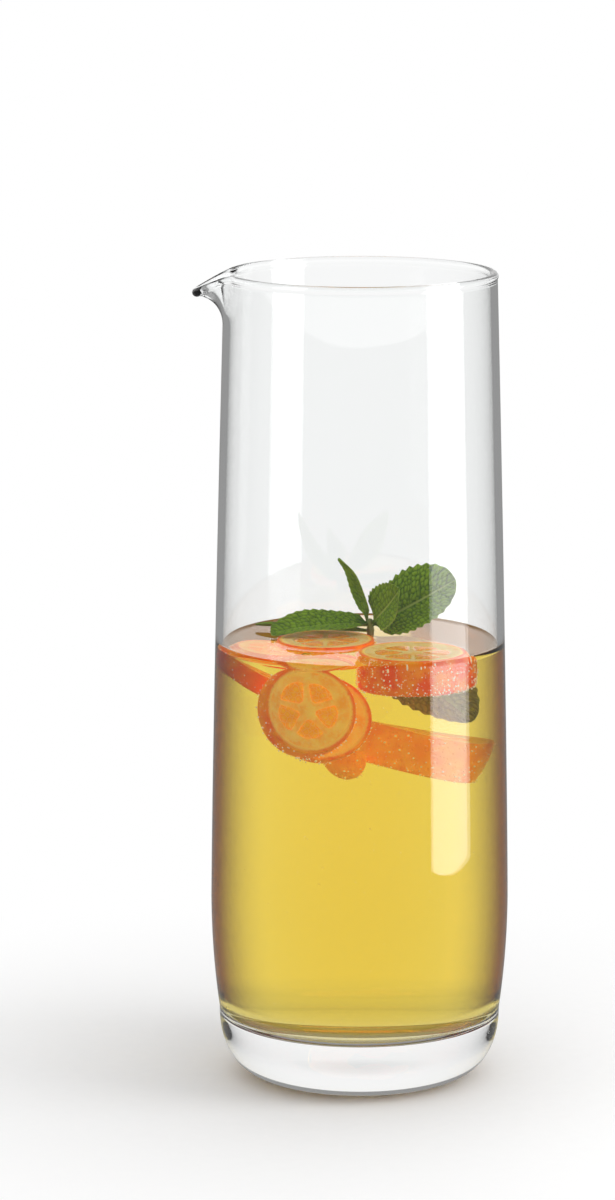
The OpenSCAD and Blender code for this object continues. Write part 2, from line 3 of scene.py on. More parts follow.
import json
import logging
import math
from dataclasses import dataclass, field
from enum import Enum
from typing import Any, Callable, Mapping, Optional, Sequence, Union

import bmesh
import bpy
import numpy as np
from mathutils import Euler, Matrix, Vector
from mathutils.geometry import delaunay_2d_cdt


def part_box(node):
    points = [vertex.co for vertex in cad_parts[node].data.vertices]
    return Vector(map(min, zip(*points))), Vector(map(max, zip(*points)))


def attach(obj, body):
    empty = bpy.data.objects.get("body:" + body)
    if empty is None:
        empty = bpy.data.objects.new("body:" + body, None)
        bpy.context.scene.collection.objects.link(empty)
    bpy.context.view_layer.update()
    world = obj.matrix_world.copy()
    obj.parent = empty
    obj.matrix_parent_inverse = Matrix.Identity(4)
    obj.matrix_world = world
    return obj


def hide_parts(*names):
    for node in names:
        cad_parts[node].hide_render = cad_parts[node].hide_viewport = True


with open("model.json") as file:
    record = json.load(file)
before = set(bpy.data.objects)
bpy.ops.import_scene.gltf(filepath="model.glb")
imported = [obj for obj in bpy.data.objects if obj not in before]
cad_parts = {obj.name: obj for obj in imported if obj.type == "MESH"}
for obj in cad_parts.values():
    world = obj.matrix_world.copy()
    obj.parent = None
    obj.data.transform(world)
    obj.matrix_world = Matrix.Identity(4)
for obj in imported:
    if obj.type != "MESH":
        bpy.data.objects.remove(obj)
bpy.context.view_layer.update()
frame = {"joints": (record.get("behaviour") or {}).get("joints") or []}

LOG = logging.getLogger("pitcher")
MM = 0.001
Color = tuple[float, float, float]
Points = np.ndarray
Material = bpy.types.Material
Piece = bpy.types.Object
Socket = bpy.types.NodeSocket


class Value:
    """A number in a shader, with Python's operators standing for Math nodes."""

    def __init__(self, tree: "ShaderTree", socket: Socket) -> None:
        """Wraps the socket of a node in the tree."""
        self.tree = tree
        self.socket = socket

    def math(self, operation: str, *operands: "Number") -> "Value":
        """Adds a Math node.

        Args:
            operation: The node's operation.
            operands: What goes into it, in order.

        Returns:
            The node's result.
        """
        inputs = dict(enumerate(operands))
        made = self.tree.node("ShaderNodeMath", {"operation": operation}, inputs)
        return Value(self.tree, made.outputs[0])

    def __add__(self, other: "Number") -> "Value":
        """Adds two values."""
        return self.math("ADD", self, other)

    def __sub__(self, other: "Number") -> "Value":
        """Takes the other value away."""
        return self.math("SUBTRACT", self, other)

    def __rsub__(self, other: "Number") -> "Value":
        """Takes this value away from the other."""
        return self.math("SUBTRACT", other, self)

    def __mul__(self, other: "Number") -> "Value":
        """Multiplies two values."""
        return self.math("MULTIPLY", self, other)

    def __truediv__(self, other: "Number") -> "Value":
        """Divides by the other value."""
        return self.math("DIVIDE", self, other)

    def __rtruediv__(self, other: "Number") -> "Value":
        """Divides the other value by this one."""
        return self.math("DIVIDE", other, self)

    def __abs__(self) -> "Value":
        """Drops the sign."""
        return self.math("ABSOLUTE", self)

    __radd__ = __add__
    __rmul__ = __mul__

    def largest(self, other: "Number") -> "Value":
        """Takes the larger of two values."""
        return self.math("MAXIMUM", self, other)

    def fraction(self) -> "Value":
        """Keeps what follows the point."""
        return self.math("FRACT", self)

    def fade(self, start: float, end: float) -> "Value":
        """Eases from 0 at start to 1 at end.

        Args:
            start: The value that gives 0.
            end: The value that gives 1.

        Returns:
            The eased value.
        """
        settings = {"interpolation_type": "SMOOTHSTEP", "clamp": True}
        limits = (start, end, 0.0, 1.0) if start < end else (end, start, 1.0, 0.0)
        made = self.tree.node("ShaderNodeMapRange", settings, dict(enumerate((self, *limits))))
        return Value(self.tree, made.outputs[0])


Number = Union[float, Value]
Input = Union[float, Sequence[float], Value, Socket]
Inputs = Mapping[Union[str, int], Input]
Settings = Mapping[str, Any]


class ShaderTree:
    """Makes the nodes of one material or world."""

    def __init__(self, owner: Union[Material, bpy.types.World]) -> None:
        """Empties the owner's node tree."""
        owner.use_nodes = True
        self.owner = owner
        self.tree = owner.node_tree
        self.tree.nodes.clear()

    @classmethod
    def material(cls, name: str) -> "ShaderTree":
        """Starts the tree of a new material."""
        return cls(bpy.data.materials.new(name))

    def node(self, kind: str, settings: Optional[Settings] = None,
             inputs: Optional[Inputs] = None) -> bpy.types.Node:
        """Adds a node.

        Args:
            kind: The node's type.
            settings: Its settings; stops are those of a colour ramp.
            inputs: Values or links by the name or number of the socket.

        Returns:
            The node.
        """
        made = self.tree.nodes.new(kind)
        for key, value in (settings or {}).items():
            if key == "stops":
                self.set_stops(made.color_ramp, value)
            else:
                setattr(made, key, value)
        for key, value in (inputs or {}).items():
            source = value.socket if isinstance(value, Value) else value
            if isinstance(source, Socket):
                self.tree.links.new(source, made.inputs[key])
            else:
                made.inputs[key].default_value = source
        return made

    @staticmethod
    def set_stops(ramp: bpy.types.ColorRamp, stops: Sequence[tuple[float, Color]]) -> None:
        """Sets the places and colours of a ramp."""
        while len(ramp.elements) < len(stops):
            ramp.elements.new(1.0)
        for element, (place, color) in zip(ramp.elements, stops):
            element.position = place
            element.color = (*color, 1.0)

    def value(self, kind: str, settings: Optional[Settings] = None,
              inputs: Optional[Inputs] = None, output: Union[str, int] = 0) -> Value:
        """Adds a node and wraps one of its outputs."""
        return Value(self, self.node(kind, settings, inputs).outputs[output])

    def place(self) -> Socket:
        """Gives the place on the piece, in metres, which moves with it."""
        return self.node("ShaderNodeTexCoord").outputs["Object"]

    def component(self, vector: Input, number: int) -> Value:
        """Gives one of the three numbers of a vector."""
        return self.value("ShaderNodeSeparateXYZ", None, {0: vector}, number)

    def mark(self, name: str) -> Value:
        """Gives the number that the mesh carries at each point under a name."""
        return self.value("ShaderNodeAttribute", {"attribute_name": name}, None, "Fac")

    def spread(self) -> tuple[Value, Value]:
        """Gives the two coordinates that the mesh was unrolled to."""
        flat = self.node("ShaderNodeUVMap").outputs[0]
        return self.component(flat, 0), self.component(flat, 1)

    def slant(self) -> Value:
        """Gives 0 where a ray meets the surface head-on and 1 where it grazes it."""
        return self.value("ShaderNodeLayerWeight", None, {"Blend": 0.5}, "Facing")

    def noise(self, size: float, detail: float = 2.0) -> Value:
        """Adds soft noise.

        Args:
            size: The size of its patches, in metres.
            detail: How many finer layers it has.

        Returns:
            The noise, about 0.5.
        """
        inputs = {"Vector": self.place(), "Scale": 1.0 / size, "Detail": detail}
        return self.value("ShaderNodeTexNoise", None, inputs)

    def cells(self, size: float, feature: str = "F1") -> Value:
        """Adds a pattern of cells and gives the distance to their middles or edges."""
        inputs = {"Vector": self.place(), "Scale": 1.0 / size}
        return self.value("ShaderNodeTexVoronoi", {"feature": feature}, inputs, "Distance")

    def blend(self, share: Number, first: Input, second: Input) -> Socket:
        """Mixes two colours.

        Args:
            share: How much of the second colour shows.
            first: A colour or a link.
            second: A colour or a link.

        Returns:
            The mixed colour.
        """
        pair = [(*c, 1.0) if isinstance(c, tuple) else c for c in (first, second)]
        made = self.node("ShaderNodeMix", {"data_type": "RGBA"}, {0: share, 6: pair[0], 7: pair[1]})
        return made.outputs[2]

    def bump(self, height: Value, depth: float) -> Socket:
        """Turns a height from 0 to 1 into a bumpy normal, depth in metres."""
        inputs = {"Strength": 1.0, "Distance": depth, "Height": height}
        return self.node("ShaderNodeBump", None, inputs).outputs[0]

    def surface(self, inputs: Inputs,
                volume: Optional[Socket] = None) -> Material:
        """Ends the material with a Principled shader.

        Args:
            inputs: Values or links of the shader's sockets.
            volume: What fills the piece, if light passes through it.

        Returns:
            The material.
        """
        shader = self.node("ShaderNodeBsdfPrincipled", None, inputs)
        ends = {"Surface": shader.outputs[0]}
        if volume is not None:
            ends["Volume"] = volume
        self.node("ShaderNodeOutputMaterial", None, ends)
        return self.owner

    def glowing(self, color: Socket, painted_glow: float, inputs: Inputs) -> Material:
        """Ends the material with painted light: the surface shines a little in its own colour, though it is
        no lamp.

        Args:
            color: The colour.
            painted_glow: How strongly it glows.
            inputs: Values or links of the shader's other sockets.

        Returns:
            The material.
        """
        lit = {"Base Color": color, "Emission Color": color, "Emission Strength": painted_glow}
        return self.surface({**lit, **inputs})


@dataclass(frozen=True)
class ClearGlass:
    """Blown clear glass with a faint waviness and wiping marks."""

    tint: Color = (0.985, 0.992, 0.99)
    index: float = 1.5
    wave_size: float = 0.03
    wave_depth: float = 0.00002
    smear_size: float = 0.02
    smear_roughness: float = 0.006

    def make(self) -> Material:
        """Makes the material."""
        tree = ShaderTree.material("clear_glass")
        smear = tree.noise(self.smear_size, 4.0).fade(0.55, 0.8)
        return tree.surface({
            "Base Color": (*self.tint, 1.0),
            "Roughness": smear * self.smear_roughness,
            "IOR": self.index,
            "Transmission Weight": 1.0,
            "Normal": tree.bump(tree.noise(self.wave_size, 1.0), self.wave_depth)})


@dataclass(frozen=True)
class GoldenDrink:
    """A clear golden drink with a faintly rippled surface, painted shade at its grazed sides and painted
    light on its top.
    """

    index: float = 1.345
    absorbed: Color = (0.963, 0.842, 0.006)
    density: float = 33.0
    # Painted shade: where rays graze the drink's sides its colour turns towards this deep brown, standing in
    # for the darker surroundings seen through the sides.
    edge: Color = (0.09, 0.016, 0.0)
    # Painted light: the drink's top faces shine faintly in this colour, though the drink is no lamp; it
    # stands in for light scattered in the drink.
    scattered: Color = (0.17, 0.075, 0.0)
    ripple_size: float = 0.012
    ripple_depth: float = 0.00001
    haze_roughness: float = 0.004

    def make(self) -> Material:
        """Makes the material."""
        tree = ShaderTree.material("golden_drink")
        volume = tree.node("ShaderNodeVolumeAbsorption", None,
                           {"Color": (*self.absorbed, 1.0), "Density": self.density})
        haze = tree.noise(self.ripple_size, 3.0).fade(0.6, 0.85)
        face = tree.node("ShaderNodeNewGeometry")
        upright = tree.component(face.outputs["Normal"], 2)
        entered = 1.0 - Value(tree, face.outputs["Backfacing"])
        side = abs(upright).fade(0.25, 0.1) * entered
        # Painted shade, stronger the more a ray grazes a side face as it enters the drink.
        painted_side_shade = tree.slant().fade(0.1, 0.265) * side
        # Painted light: the share of the painted shine, on upward faces where rays enter the drink.
        top = upright.fade(0.6, 0.95) * entered
        return tree.surface({
            "Base Color": tree.blend(painted_side_shade, (1.0, 1.0, 1.0), self.edge),
            "Emission Color": tree.blend(top, (0.0, 0.0, 0.0), self.scattered),
            "Emission Strength": 1.0,
            "Roughness": haze * self.haze_roughness,
            "IOR": self.index,
            "Transmission Weight": 1.0,
            "Normal": tree.bump(tree.noise(self.ripple_size, 1.0), self.ripple_depth)},
            volume.outputs[0])


class Soak(Enum):
    """Tells fruit that floats from fruit that has soaked in the drink."""

    AFLOAT = "afloat"
    SOAKED = "soaked"
    SUNKEN = "sunken"


@dataclass(frozen=True)
class KumquatPeel:
    """Waxy orange peel with oil pores and a deeper blush."""

    soak: Soak = Soak.AFLOAT
    deep: Color = (0.92, 0.10, 0.001)
    bright: Color = (0.98, 0.29, 0.004)
    inside: Color = (0.95, 0.60, 0.12)
    # Painted light: the peel shines a little in its own colour, standing in for light scattered in the drink.
    painted_glow: float = 0.24
    pore_size: float = 0.0011
    pore_depth: float = 0.00012
    blush_size: float = 0.006
    speck_size: float = 0.0007

    def make(self) -> Material:
        """Makes the material."""
        tree = ShaderTree.material(f"kumquat_peel_{self.soak.value}")
        dimple = tree.cells(self.pore_size).fade(0.12, 0.42)
        blush = tree.noise(self.blush_size, 3.0).fade(0.35, 0.68)
        skin = tree.blend(blush, self.deep, self.bright)
        speck = tree.noise(self.speck_size).fade(0.5, 0.75)
        pored = tree.blend((1.0 - dimple) * 0.4 + speck * 0.15, skin, self.deep)
        zest = (tree.mark("zest") + speck * 0.2).fade(0.25, 0.85)
        return tree.glowing(tree.blend(zest, self.inside, pored), self.painted_glow, {
            "Roughness": 0.26 + dimple * 0.1 + speck * 0.15,
            "Specular IOR Level": 0.2,
            "Subsurface Weight": 0.35,
            "Subsurface Radius": (1.0, 0.35, 0.05),
            "Subsurface Scale": 0.0018,
            "Normal": tree.bump(dimple + speck * 0.2, self.pore_depth)})


@dataclass(frozen=True)
class SpongyPith:
    """Pale yellow pith and membranes with short fibres."""

    soak: Soak = Soak.AFLOAT
    pale: Color = (0.90, 0.66, 0.22)
    deep: Color = (0.86, 0.48, 0.08)
    fibre: Color = (0.95, 0.80, 0.50)
    fibre_size: float = 0.0008
    # Painted light: the pith shines a little in its own colour, standing in for light scattered in the drink.
    painted_glow: float = 0.1
    patch_size: float = 0.004
    fibre_depth: float = 0.00008

    def make(self) -> Material:
        """Makes the material."""
        tree = ShaderTree.material(f"spongy_pith_{self.soak.value}")
        fibre = tree.noise(self.fibre_size, 4.0)
        patch = tree.noise(self.patch_size).fade(0.35, 0.7)
        base = tree.blend(patch, self.pale, self.deep)
        color = tree.blend(fibre.fade(0.45, 0.7) * 0.35, base, self.fibre)
        return tree.glowing(color, self.painted_glow, {
            "Roughness": 0.38 + fibre * 0.25,
            "Specular IOR Level": 0.2,
            "Subsurface Weight": 0.5,
            "Subsurface Radius": (1.0, 0.6, 0.2),
            "Subsurface Scale": 0.002,
            "Normal": tree.bump(fibre, self.fibre_depth)})


@dataclass(frozen=True)
class JuicyPulp:
    """Wet orange pulp, made of small sacs of juice."""

    soak: Soak = Soak.AFLOAT
    light: Color = (0.97, 0.46, 0.03)
    deep: Color = (0.90, 0.26, 0.006)
    sac_size: float = 0.0016
    # Painted light: the pulp shines a little in its own colour, standing in for light scattered in the drink.
    painted_glow: float = 0.14
    membrane: Color = (0.97, 0.64, 0.18)
    warp_size: float = 0.003
    sac_depth: float = 0.00015

    def make(self) -> Material:
        """Makes the material."""
        tree = ShaderTree.material(f"juicy_pulp_{self.soak.value}")
        sacs = tree.cells(self.sac_size) + tree.noise(self.warp_size) * 0.3
        skin = tree.cells(self.sac_size, "DISTANCE_TO_EDGE").fade(0.1, 0.0)
        base = tree.blend(sacs.fade(0.2, 0.85), self.light, self.deep)
        return tree.glowing(tree.blend(skin * 0.35, base, self.membrane), self.painted_glow, {
            "Roughness": 0.16 + skin * 0.2,
            "Subsurface Weight": 0.6,
            "Subsurface Radius": (1.0, 0.4, 0.05),
            "Specular IOR Level": 0.25,
            "Subsurface Scale": 0.0025,
            "Normal": tree.bump(1.0 - sacs, self.sac_depth)})


@dataclass(frozen=True)
class PaintedGlintBubble:
    """A gas bubble drawn as a bright speck, its colour a painted glint standing in for the light it catches.
    """

    # Painted glint: both colours stand in for light caught by the bubble, not for a colour of its own.
    light: Color = (1.0, 0.93, 0.78)
    shade: Color = (0.95, 0.80, 0.50)
    # Painted light: the bubble shines a little in its own colour, though it is no lamp.
    painted_glow: float = 0.25
    sheen_size: float = 0.0006
    haze_size: float = 0.0003

    def make(self) -> Material:
        """Makes the material."""
        tree = ShaderTree.material("painted_glint_bubble")
        # Painted glint: random patches of the two bright colours.
        sheen = tree.noise(self.sheen_size).fade(0.35, 0.65)
        return tree.glowing(tree.blend(sheen, self.light, self.shade), self.painted_glow,
                            {"Roughness": 0.1 + tree.noise(self.haze_size) * 0.1})


VEIN_COUNT = 9.0
VEIN_SLANT = 0.18


class LeafAge(Enum):
    """Tells a full-grown leaf from a young or a sunken one."""

    GROWN = "grown"
    YOUNG = "young"
    SUNKEN = "sunken"


class LeafForm(Enum):
    """Outlines of a leaf: where it is broadest, how round it is, where its stalk ends."""

    FULL = (1.1, 0.4, 0.08)
    BLUNT = (1.15, 0.3, 0.05)
    SLENDER = (0.8, 0.55, 0.16)


@dataclass(frozen=True)
class MintLeafSkin:
    """Green leaf skin with a pale midrib and side veins, with painted shade in the grooves between its puffs
    and painted light on their tops.
    """

    age: LeafAge
    # The first colour is painted light on the puffed tops, the second painted shade in the grooves between
    # them.
    light: Color
    painted_groove_shade: Color
    vein: Color
    pale_edge: float = 0.15
    mottle_size: float = 0.004
    grain_size: float = 0.0004
    relief: float = 0.00006

    def make(self) -> Material:
        """Makes the material."""
        tree = ShaderTree.material(f"mint_leaf_{self.age.value}")
        along, across = tree.spread()
        side = abs(across * 2.0 - 1.0)
        rib = (side * (0.6 + along)).fade(0.045, 0.012)
        step = ((along - side * VEIN_SLANT) * VEIN_COUNT).fraction()
        veins = abs(step - 0.5).fade(0.45, 0.5) * side.fade(0.95, 0.3)
        mottle = tree.noise(self.mottle_size, 3.0).fade(0.3, 0.7)
        grain = tree.noise(self.grain_size)
        # Painted shade and painted light: the colour runs from the groove shade where the blade sinks to the
        # lighter colour on its puffed tops.
        puff = tree.mark("puff").fade(0.0, 0.8)
        blade = tree.blend(puff * 0.8 + mottle * 0.2, self.painted_groove_shade, self.light)
        paler = (veins * 0.2).largest(side.fade(0.88, 1.0) * self.pale_edge)
        veined = tree.blend(paler, blade, self.vein)
        return tree.surface({
            "Base Color": tree.blend(rib * 0.8, veined, self.vein),
            "Roughness": 0.4 + grain * 0.2 + rib * 0.1,
            "Specular IOR Level": 0.1,
            "Subsurface Weight": 0.1,
            "Subsurface Radius": (0.4, 1.0, 0.15),
            "Subsurface Scale": 0.0004,
            "Normal": tree.bump(grain + veins * -0.6 + rib * 0.8, self.relief)})


@dataclass(frozen=True)
class MintStemSkin:
    """Ribbed stem, green at the top and brown at the cut foot."""

    green: Color = (0.20, 0.26, 0.05)
    brown: Color = (0.16, 0.07, 0.025)
    brown_share: float = 0.3
    fibre_size: float = 0.0006
    fibre_depth: float = 0.0001

    def make(self, foot: float, top: float) -> Material:
        """Makes the material.

        Args:
            foot: The height of the stem's cut foot, in metres.
            top: The height of its top, in metres.

        Returns:
            The material.
        """
        tree = ShaderTree.material("mint_stem_skin")
        fibre = tree.noise(self.fibre_size, 3.0)
        height = tree.component(tree.place(), 2) + fibre * 0.002
        share = height.fade(foot + self.brown_share * (top - foot), top)
        return tree.surface({
            "Base Color": tree.blend(share, self.brown, self.green),
            "Roughness": 0.4 + fibre * 0.25,
            "Normal": tree.bump(fibre, self.fibre_depth)})


class Lattice:
    """Smooth repeatable noise from a seeded table of numbers."""

    def __init__(self, seed: int, size: int = 32) -> None:
        """Fills the table."""
        self.size = size
        self.table = np.random.default_rng(seed).uniform(-1.0, 1.0, (size, size, size))

    def __call__(self, points: Points) -> np.ndarray:
        """Reads the noise.

        Args:
            points: Places, one a row, with patches about 1 wide.

        Returns:
            A number from -1 to 1 for each place.
        """
        low = np.floor(points).astype(int)
        part = points - low
        part = part * part * (3.0 - 2.0 * part)
        total = np.zeros(len(points))
        for corner in np.ndindex(2, 2, 2):
            index = (low + corner) % self.size
            weight = np.where(np.array(corner) == 1, part, 1.0 - part).prod(axis=1)
            total += weight * self.table[index[:, 0], index[:, 1], index[:, 2]]
        return total


class Quilt:
    """Rounded cells with grooves between them, from shifted points on a grid."""

    def __init__(self, seed: int, size: float, count: int = 64) -> None:
        """Fills the table of shifts, for cells about as wide as size."""
        self.size = size
        self.count = count
        self.table = np.random.default_rng(seed).uniform(0.12, 0.88, (count, count, 2))

    def __call__(self, flat: Points) -> np.ndarray:
        """Reads the pattern.

        Args:
            flat: Places in the plane, one a row.

        Returns:
            From 0 in the grooves to 1 in the middle of a cell.
        """
        spots = flat / self.size
        low = np.floor(spots).astype(int)
        first = np.full(len(flat), np.inf)
        second = np.full(len(flat), np.inf)
        for step in np.ndindex(5, 5):
            index = low + step - np.array([2, 2])
            hub = index + self.table[index[:, 0] % self.count, index[:, 1] % self.count]
            away = np.linalg.norm(spots - hub, axis=1)
            second = np.where(away < first, first, np.minimum(second, away))
            first = np.minimum(first, away)
        return np.sin(math.pi / 2 * np.clip((second - first) / 0.62, 0, 1))


class MeshDraft:
    """Collects points and faces, then makes them one object."""

    def __init__(self) -> None:
        """Starts empty."""
        self.points: list[Points] = []
        self.faces: list[tuple[int, ...]] = []
        self.count = 0

    def add(self, points: Points, faces: Sequence[tuple[int, ...]] = ()) -> int:
        """Adds points and the faces between them.

        Args:
            points: Places in metres, one a row.
            faces: Numbers of points, counted from the first of these.

        Returns:
            The number of the first of these points in the whole mesh.
        """
        first = self.count
        self.points.append(np.asarray(points, float).reshape(-1, 3))
        self.count += len(self.points[-1])
        self.faces += [tuple(first + i for i in f) for f in faces]
        return first

    def sheet(self, rows: int, columns: int, first: int, closed: bool = False) -> None:
        """Fills the faces of a grid of points.

        Args:
            rows: How many rows of points it has.
            columns: How many points a row has.
            first: The number of the grid's first point.
            closed: Whether each row runs round to its start.
        """
        last = columns if closed else columns - 1
        for i in range(rows - 1):
            for j in range(last):
                a, b = first + i * columns + j, first + i * columns + (j + 1) % columns
                self.faces.append((a, b, b + columns, a + columns))

    def tube(self, grid: Points, ends: Sequence[Points]) -> None:
        """Adds a skin of rings and closes its ends with fans.

        Args:
            grid: Places in metres, one ring a row.
            ends: The middle points of the first ring and, where it is closed, the last.
        """
        rows, around = grid.shape[:2]
        first = self.add(grid)
        self.sheet(rows, around, first, closed=True)
        for end, start in zip(ends, (first, first + (rows - 1) * around)):
            hub = self.add(end)
            ring = list(range(start, start + around))
            self.faces += [(a, b, hub) for a, b in zip(ring, ring[1:] + ring[:1])]

    def make(self, name: str, material: Material, sharp: float = 180.0,
             marks: Optional[Mapping[str, np.ndarray]] = None) -> Piece:
        """Makes the object, with its outside facing out.

        Args:
            name: The piece's name.
            material: Its finish.
            sharp: The least angle between two faces that shows as an edge, in degrees.
            marks: Numbers for every point that the finish reads, by name.

        Returns:
            The object.
        """
        mesh = bpy.data.meshes.new(name)
        mesh.from_pydata(np.vstack(self.points).tolist(), [], self.faces)
        work = bmesh.new()
        work.from_mesh(mesh)
        bmesh.ops.recalc_face_normals(work, faces=work.faces)
        work.to_mesh(mesh)
        work.free()
        mesh.materials.append(material)
        for key, values in (marks or {}).items():
            layer = mesh.attributes.new(key, "FLOAT", "POINT")
            layer.data.foreach_set("value", np.asarray(values, np.float32))
        mesh.polygons.foreach_set("use_smooth", np.ones(len(mesh.polygons), bool))
        if sharp < 180.0:
            mesh.set_sharp_from_angle(angle=math.radians(sharp))
        piece = bpy.data.objects.new(name, mesh)
        bpy.context.scene.collection.objects.link(piece)
        return piece


def settle(piece: Piece, body: str, slot: str, *nodes: str) -> None:
    """Puts a piece on its body in place of its solids.

    Args:
        piece: The dressed piece.
        body: The body that it rides on.
        slot: The record's material slot of its finish; not used.
        nodes: The solids that it stands for.
    """
    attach(piece, body)
    if nodes:
        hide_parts(*nodes)
    LOG.info("%s rides on %s with %d faces", piece.name, body, len(piece.data.polygons))


def polar(radius: float, angle: float) -> Points:
    """Gives a point in the plane from its distance and its angle in radians."""
    return np.array([radius * math.cos(angle), radius * math.sin(angle)])


def mix(first: Any, second: Any, share: Any) -> Any:
    """Gives what lies between two values."""
    return first + (second - first) * share


def full_turn(count: int) -> np.ndarray:
    """Gives even angles once round a circle, in radians."""
    return np.linspace(0, 2 * math.pi, count, endpoint=False)


def lathe(outline: Points, count: int) -> Points:
    """Turns an outline about the upright axis.

    Args:
        outline: Radius and height of each point.
        count: How many points a ring has.

    Returns:
        Places in the outline's units, one ring a row.
    """
    turn = full_turn(count)
    return np.stack([outline[:, :1] * np.cos(turn), outline[:, :1] * np.sin(turn),
                     np.repeat(outline[:, 1:], count, 1)], 2)


@dataclass
class Vessel:
    """The blown glass: a heavy foot, a bellied wall and a pulled lip."""

    height: float = 245 * MM
    belly_radius: float = 45 * MM
    belly_height: float = 55 * MM
    rim_radius: float = 40.6 * MM
    wall: float = 2.2 * MM
    floor: float = 17 * MM
    corner: float = 10 * MM
    foot_radius: float = 27 * MM
    knee_radius: float = 42.6 * MM
    knee_height: float = 20.5 * MM
    bead: float = 1.35 * MM
    lip_height: float = 16 * MM
    lip_reach: float = 9.2 * MM
    lip_drop: float = 5 * MM
    lip_half_angle: float = math.radians(42)
    lip_sharpness: float = 16.0
    taper_bow: float = 1.25
    foot_square: float = 0.87

    def outside(self, z: Any) -> Any:
        """Gives the outside radius at a height above the rounded foot."""
        up = np.clip((z - self.belly_height) / (self.height - self.belly_height), 0, None)
        down = np.clip((self.belly_height - z) / (self.belly_height - self.knee_height), 0, None)
        taper = (self.belly_radius - self.rim_radius) * up ** self.taper_bow
        return self.belly_radius - taper - (self.belly_radius - self.knee_radius) * down ** 2

    def inside(self, z: Any) -> Any:
        """Gives the inside radius at a height above the rounded floor."""
        return self.outside(z) - self.wall

    @property
    def bead_height(self) -> float:
        """Gives the height of the middle of the rim's bead."""
        return self.height - self.bead

    @property
    def lip_start(self) -> float:
        """Gives the height where the flare of the lip starts."""
        return self.height - self.lip_height

    def flare(self, along: np.ndarray, across: np.ndarray, past: np.ndarray, weight: float) -> Points:
        """Gives points of the wall where it may flare out to the lip.

        Args:
            along: Heights that the points would have without a flare.
            across: Distances from the middle of the wall.
            past: Distances past the end of the wall.
            weight: How much of the flare there is, from 0 to 1.

        Returns:
            Radius and height of each point.
        """
        start = self.lip_start
        span = self.bead_height - start
        rate = math.pi / 2 / span
        turn = np.clip((along - start) * rate, 0, math.pi / 2)
        rise = span - self.lip_drop
        out = self.outside(along) - self.wall / 2 + weight * self.lip_reach * (1 - np.cos(turn))
        up = np.where(along < start, along, mix(along, start + rise * np.sin(turn), weight))
        middle = np.stack([out, up], 1)
        climb = np.where(along < start, 1.0, mix(1.0, rise * np.cos(turn) * rate, weight))
        step = np.stack([weight * self.lip_reach * np.sin(turn) * rate, climb], 1)
        step /= np.linalg.norm(step, axis=1)[:, None]
        normal = np.stack([step[:, 1], -step[:, 0]], 1)
        return middle + across[:, None] * normal + past[:, None] * step

    def section(self, weight: float) -> Points:
        """Gives the outline of the glass from the middle of its base to the middle of its floor.

        Args:
            weight: How much of the lip's flare there is, from 0 to 1.

        Returns:
            Radius and height of each point, both middles left out.
        """
        turn = np.linspace(0, math.pi / 2, 22)
        base = np.stack([self.foot_radius * np.linspace(0.25, 0.94, 4), np.zeros(4)], 1)
        foot = np.stack([mix(self.foot_radius, self.knee_radius, np.sin(turn) ** self.foot_square),
                         self.knee_height * (1 - np.cos(turn) ** self.foot_square)], 1)
        bead_turn = math.acos(self.wall / 2 / self.bead)
        wall_top = self.bead_height - self.bead * math.sin(bead_turn)
        start = self.lip_start
        rise = np.concatenate([np.linspace(self.knee_height, self.belly_height, 14)[1:],
                               np.linspace(self.belly_height, start, 40)[1:],
                               np.linspace(start, wall_top, 16)[1:]])
        none = np.zeros(len(rise))
        outer = self.flare(rise, none + self.wall / 2, none, weight)
        arc = np.linspace(-bead_turn, math.pi + bead_turn, 14)[1:-1]
        bead = self.flare(np.full(len(arc), self.bead_height), self.bead * np.cos(arc),
                          self.bead * np.sin(arc), weight)
        corner_height = self.floor + self.corner
        fall = np.concatenate([np.linspace(wall_top, start, 16),
                               np.linspace(start, self.belly_height, 40)[1:],
                               np.linspace(self.belly_height, corner_height, 12)[1:]])
        none = np.zeros(len(fall))
        inner = self.flare(fall, none - self.wall / 2, none, weight)
        turn = np.linspace(0, math.pi / 2, 14)[1:]
        hub = self.inside(corner_height) - self.corner
        corner = np.stack([hub + self.corner * np.cos(turn),
                           corner_height - self.corner * np.sin(turn)], 1)
        bottom = np.stack([hub * np.array([0.7, 0.35]), np.full(2, self.floor)], 1)
        return np.concatenate([base, foot, outer, bead, inner, corner, bottom])

    def turns(self) -> np.ndarray:
        """Gives the angles from the lip at which the glass is cut, closer together near it."""
        share = np.linspace(-1, 1, 73)
        near = self.lip_half_angle * np.sign(share) * np.abs(share) ** 1.35
        far = np.linspace(self.lip_half_angle, 2 * math.pi - self.lip_half_angle, 157)[1:-1]
        return np.concatenate([near, far])

    def build(self, finish: ClearGlass) -> None:
        """Builds the glass as one closed skin and dresses it."""
        cuts = []
        for turn in self.turns():
            spread = (turn + math.pi) % (2 * math.pi) - math.pi
            weight = 0.0
            if abs(spread) < self.lip_half_angle:
                weight = math.cos(math.pi / 2 * spread / self.lip_half_angle) ** self.lip_sharpness
            outline = self.section(weight)
            cuts.append(np.stack([-outline[:, 0] * math.cos(turn), outline[:, 0] * math.sin(turn),
                                  outline[:, 1]], 1))
        draft = MeshDraft()
        draft.tube(np.stack(cuts, 1), [(0, 0, 0), (0, 0, self.floor)])
        settle(draft.make("glass_vessel", finish.make()), "pitcher", "glass", "glass")


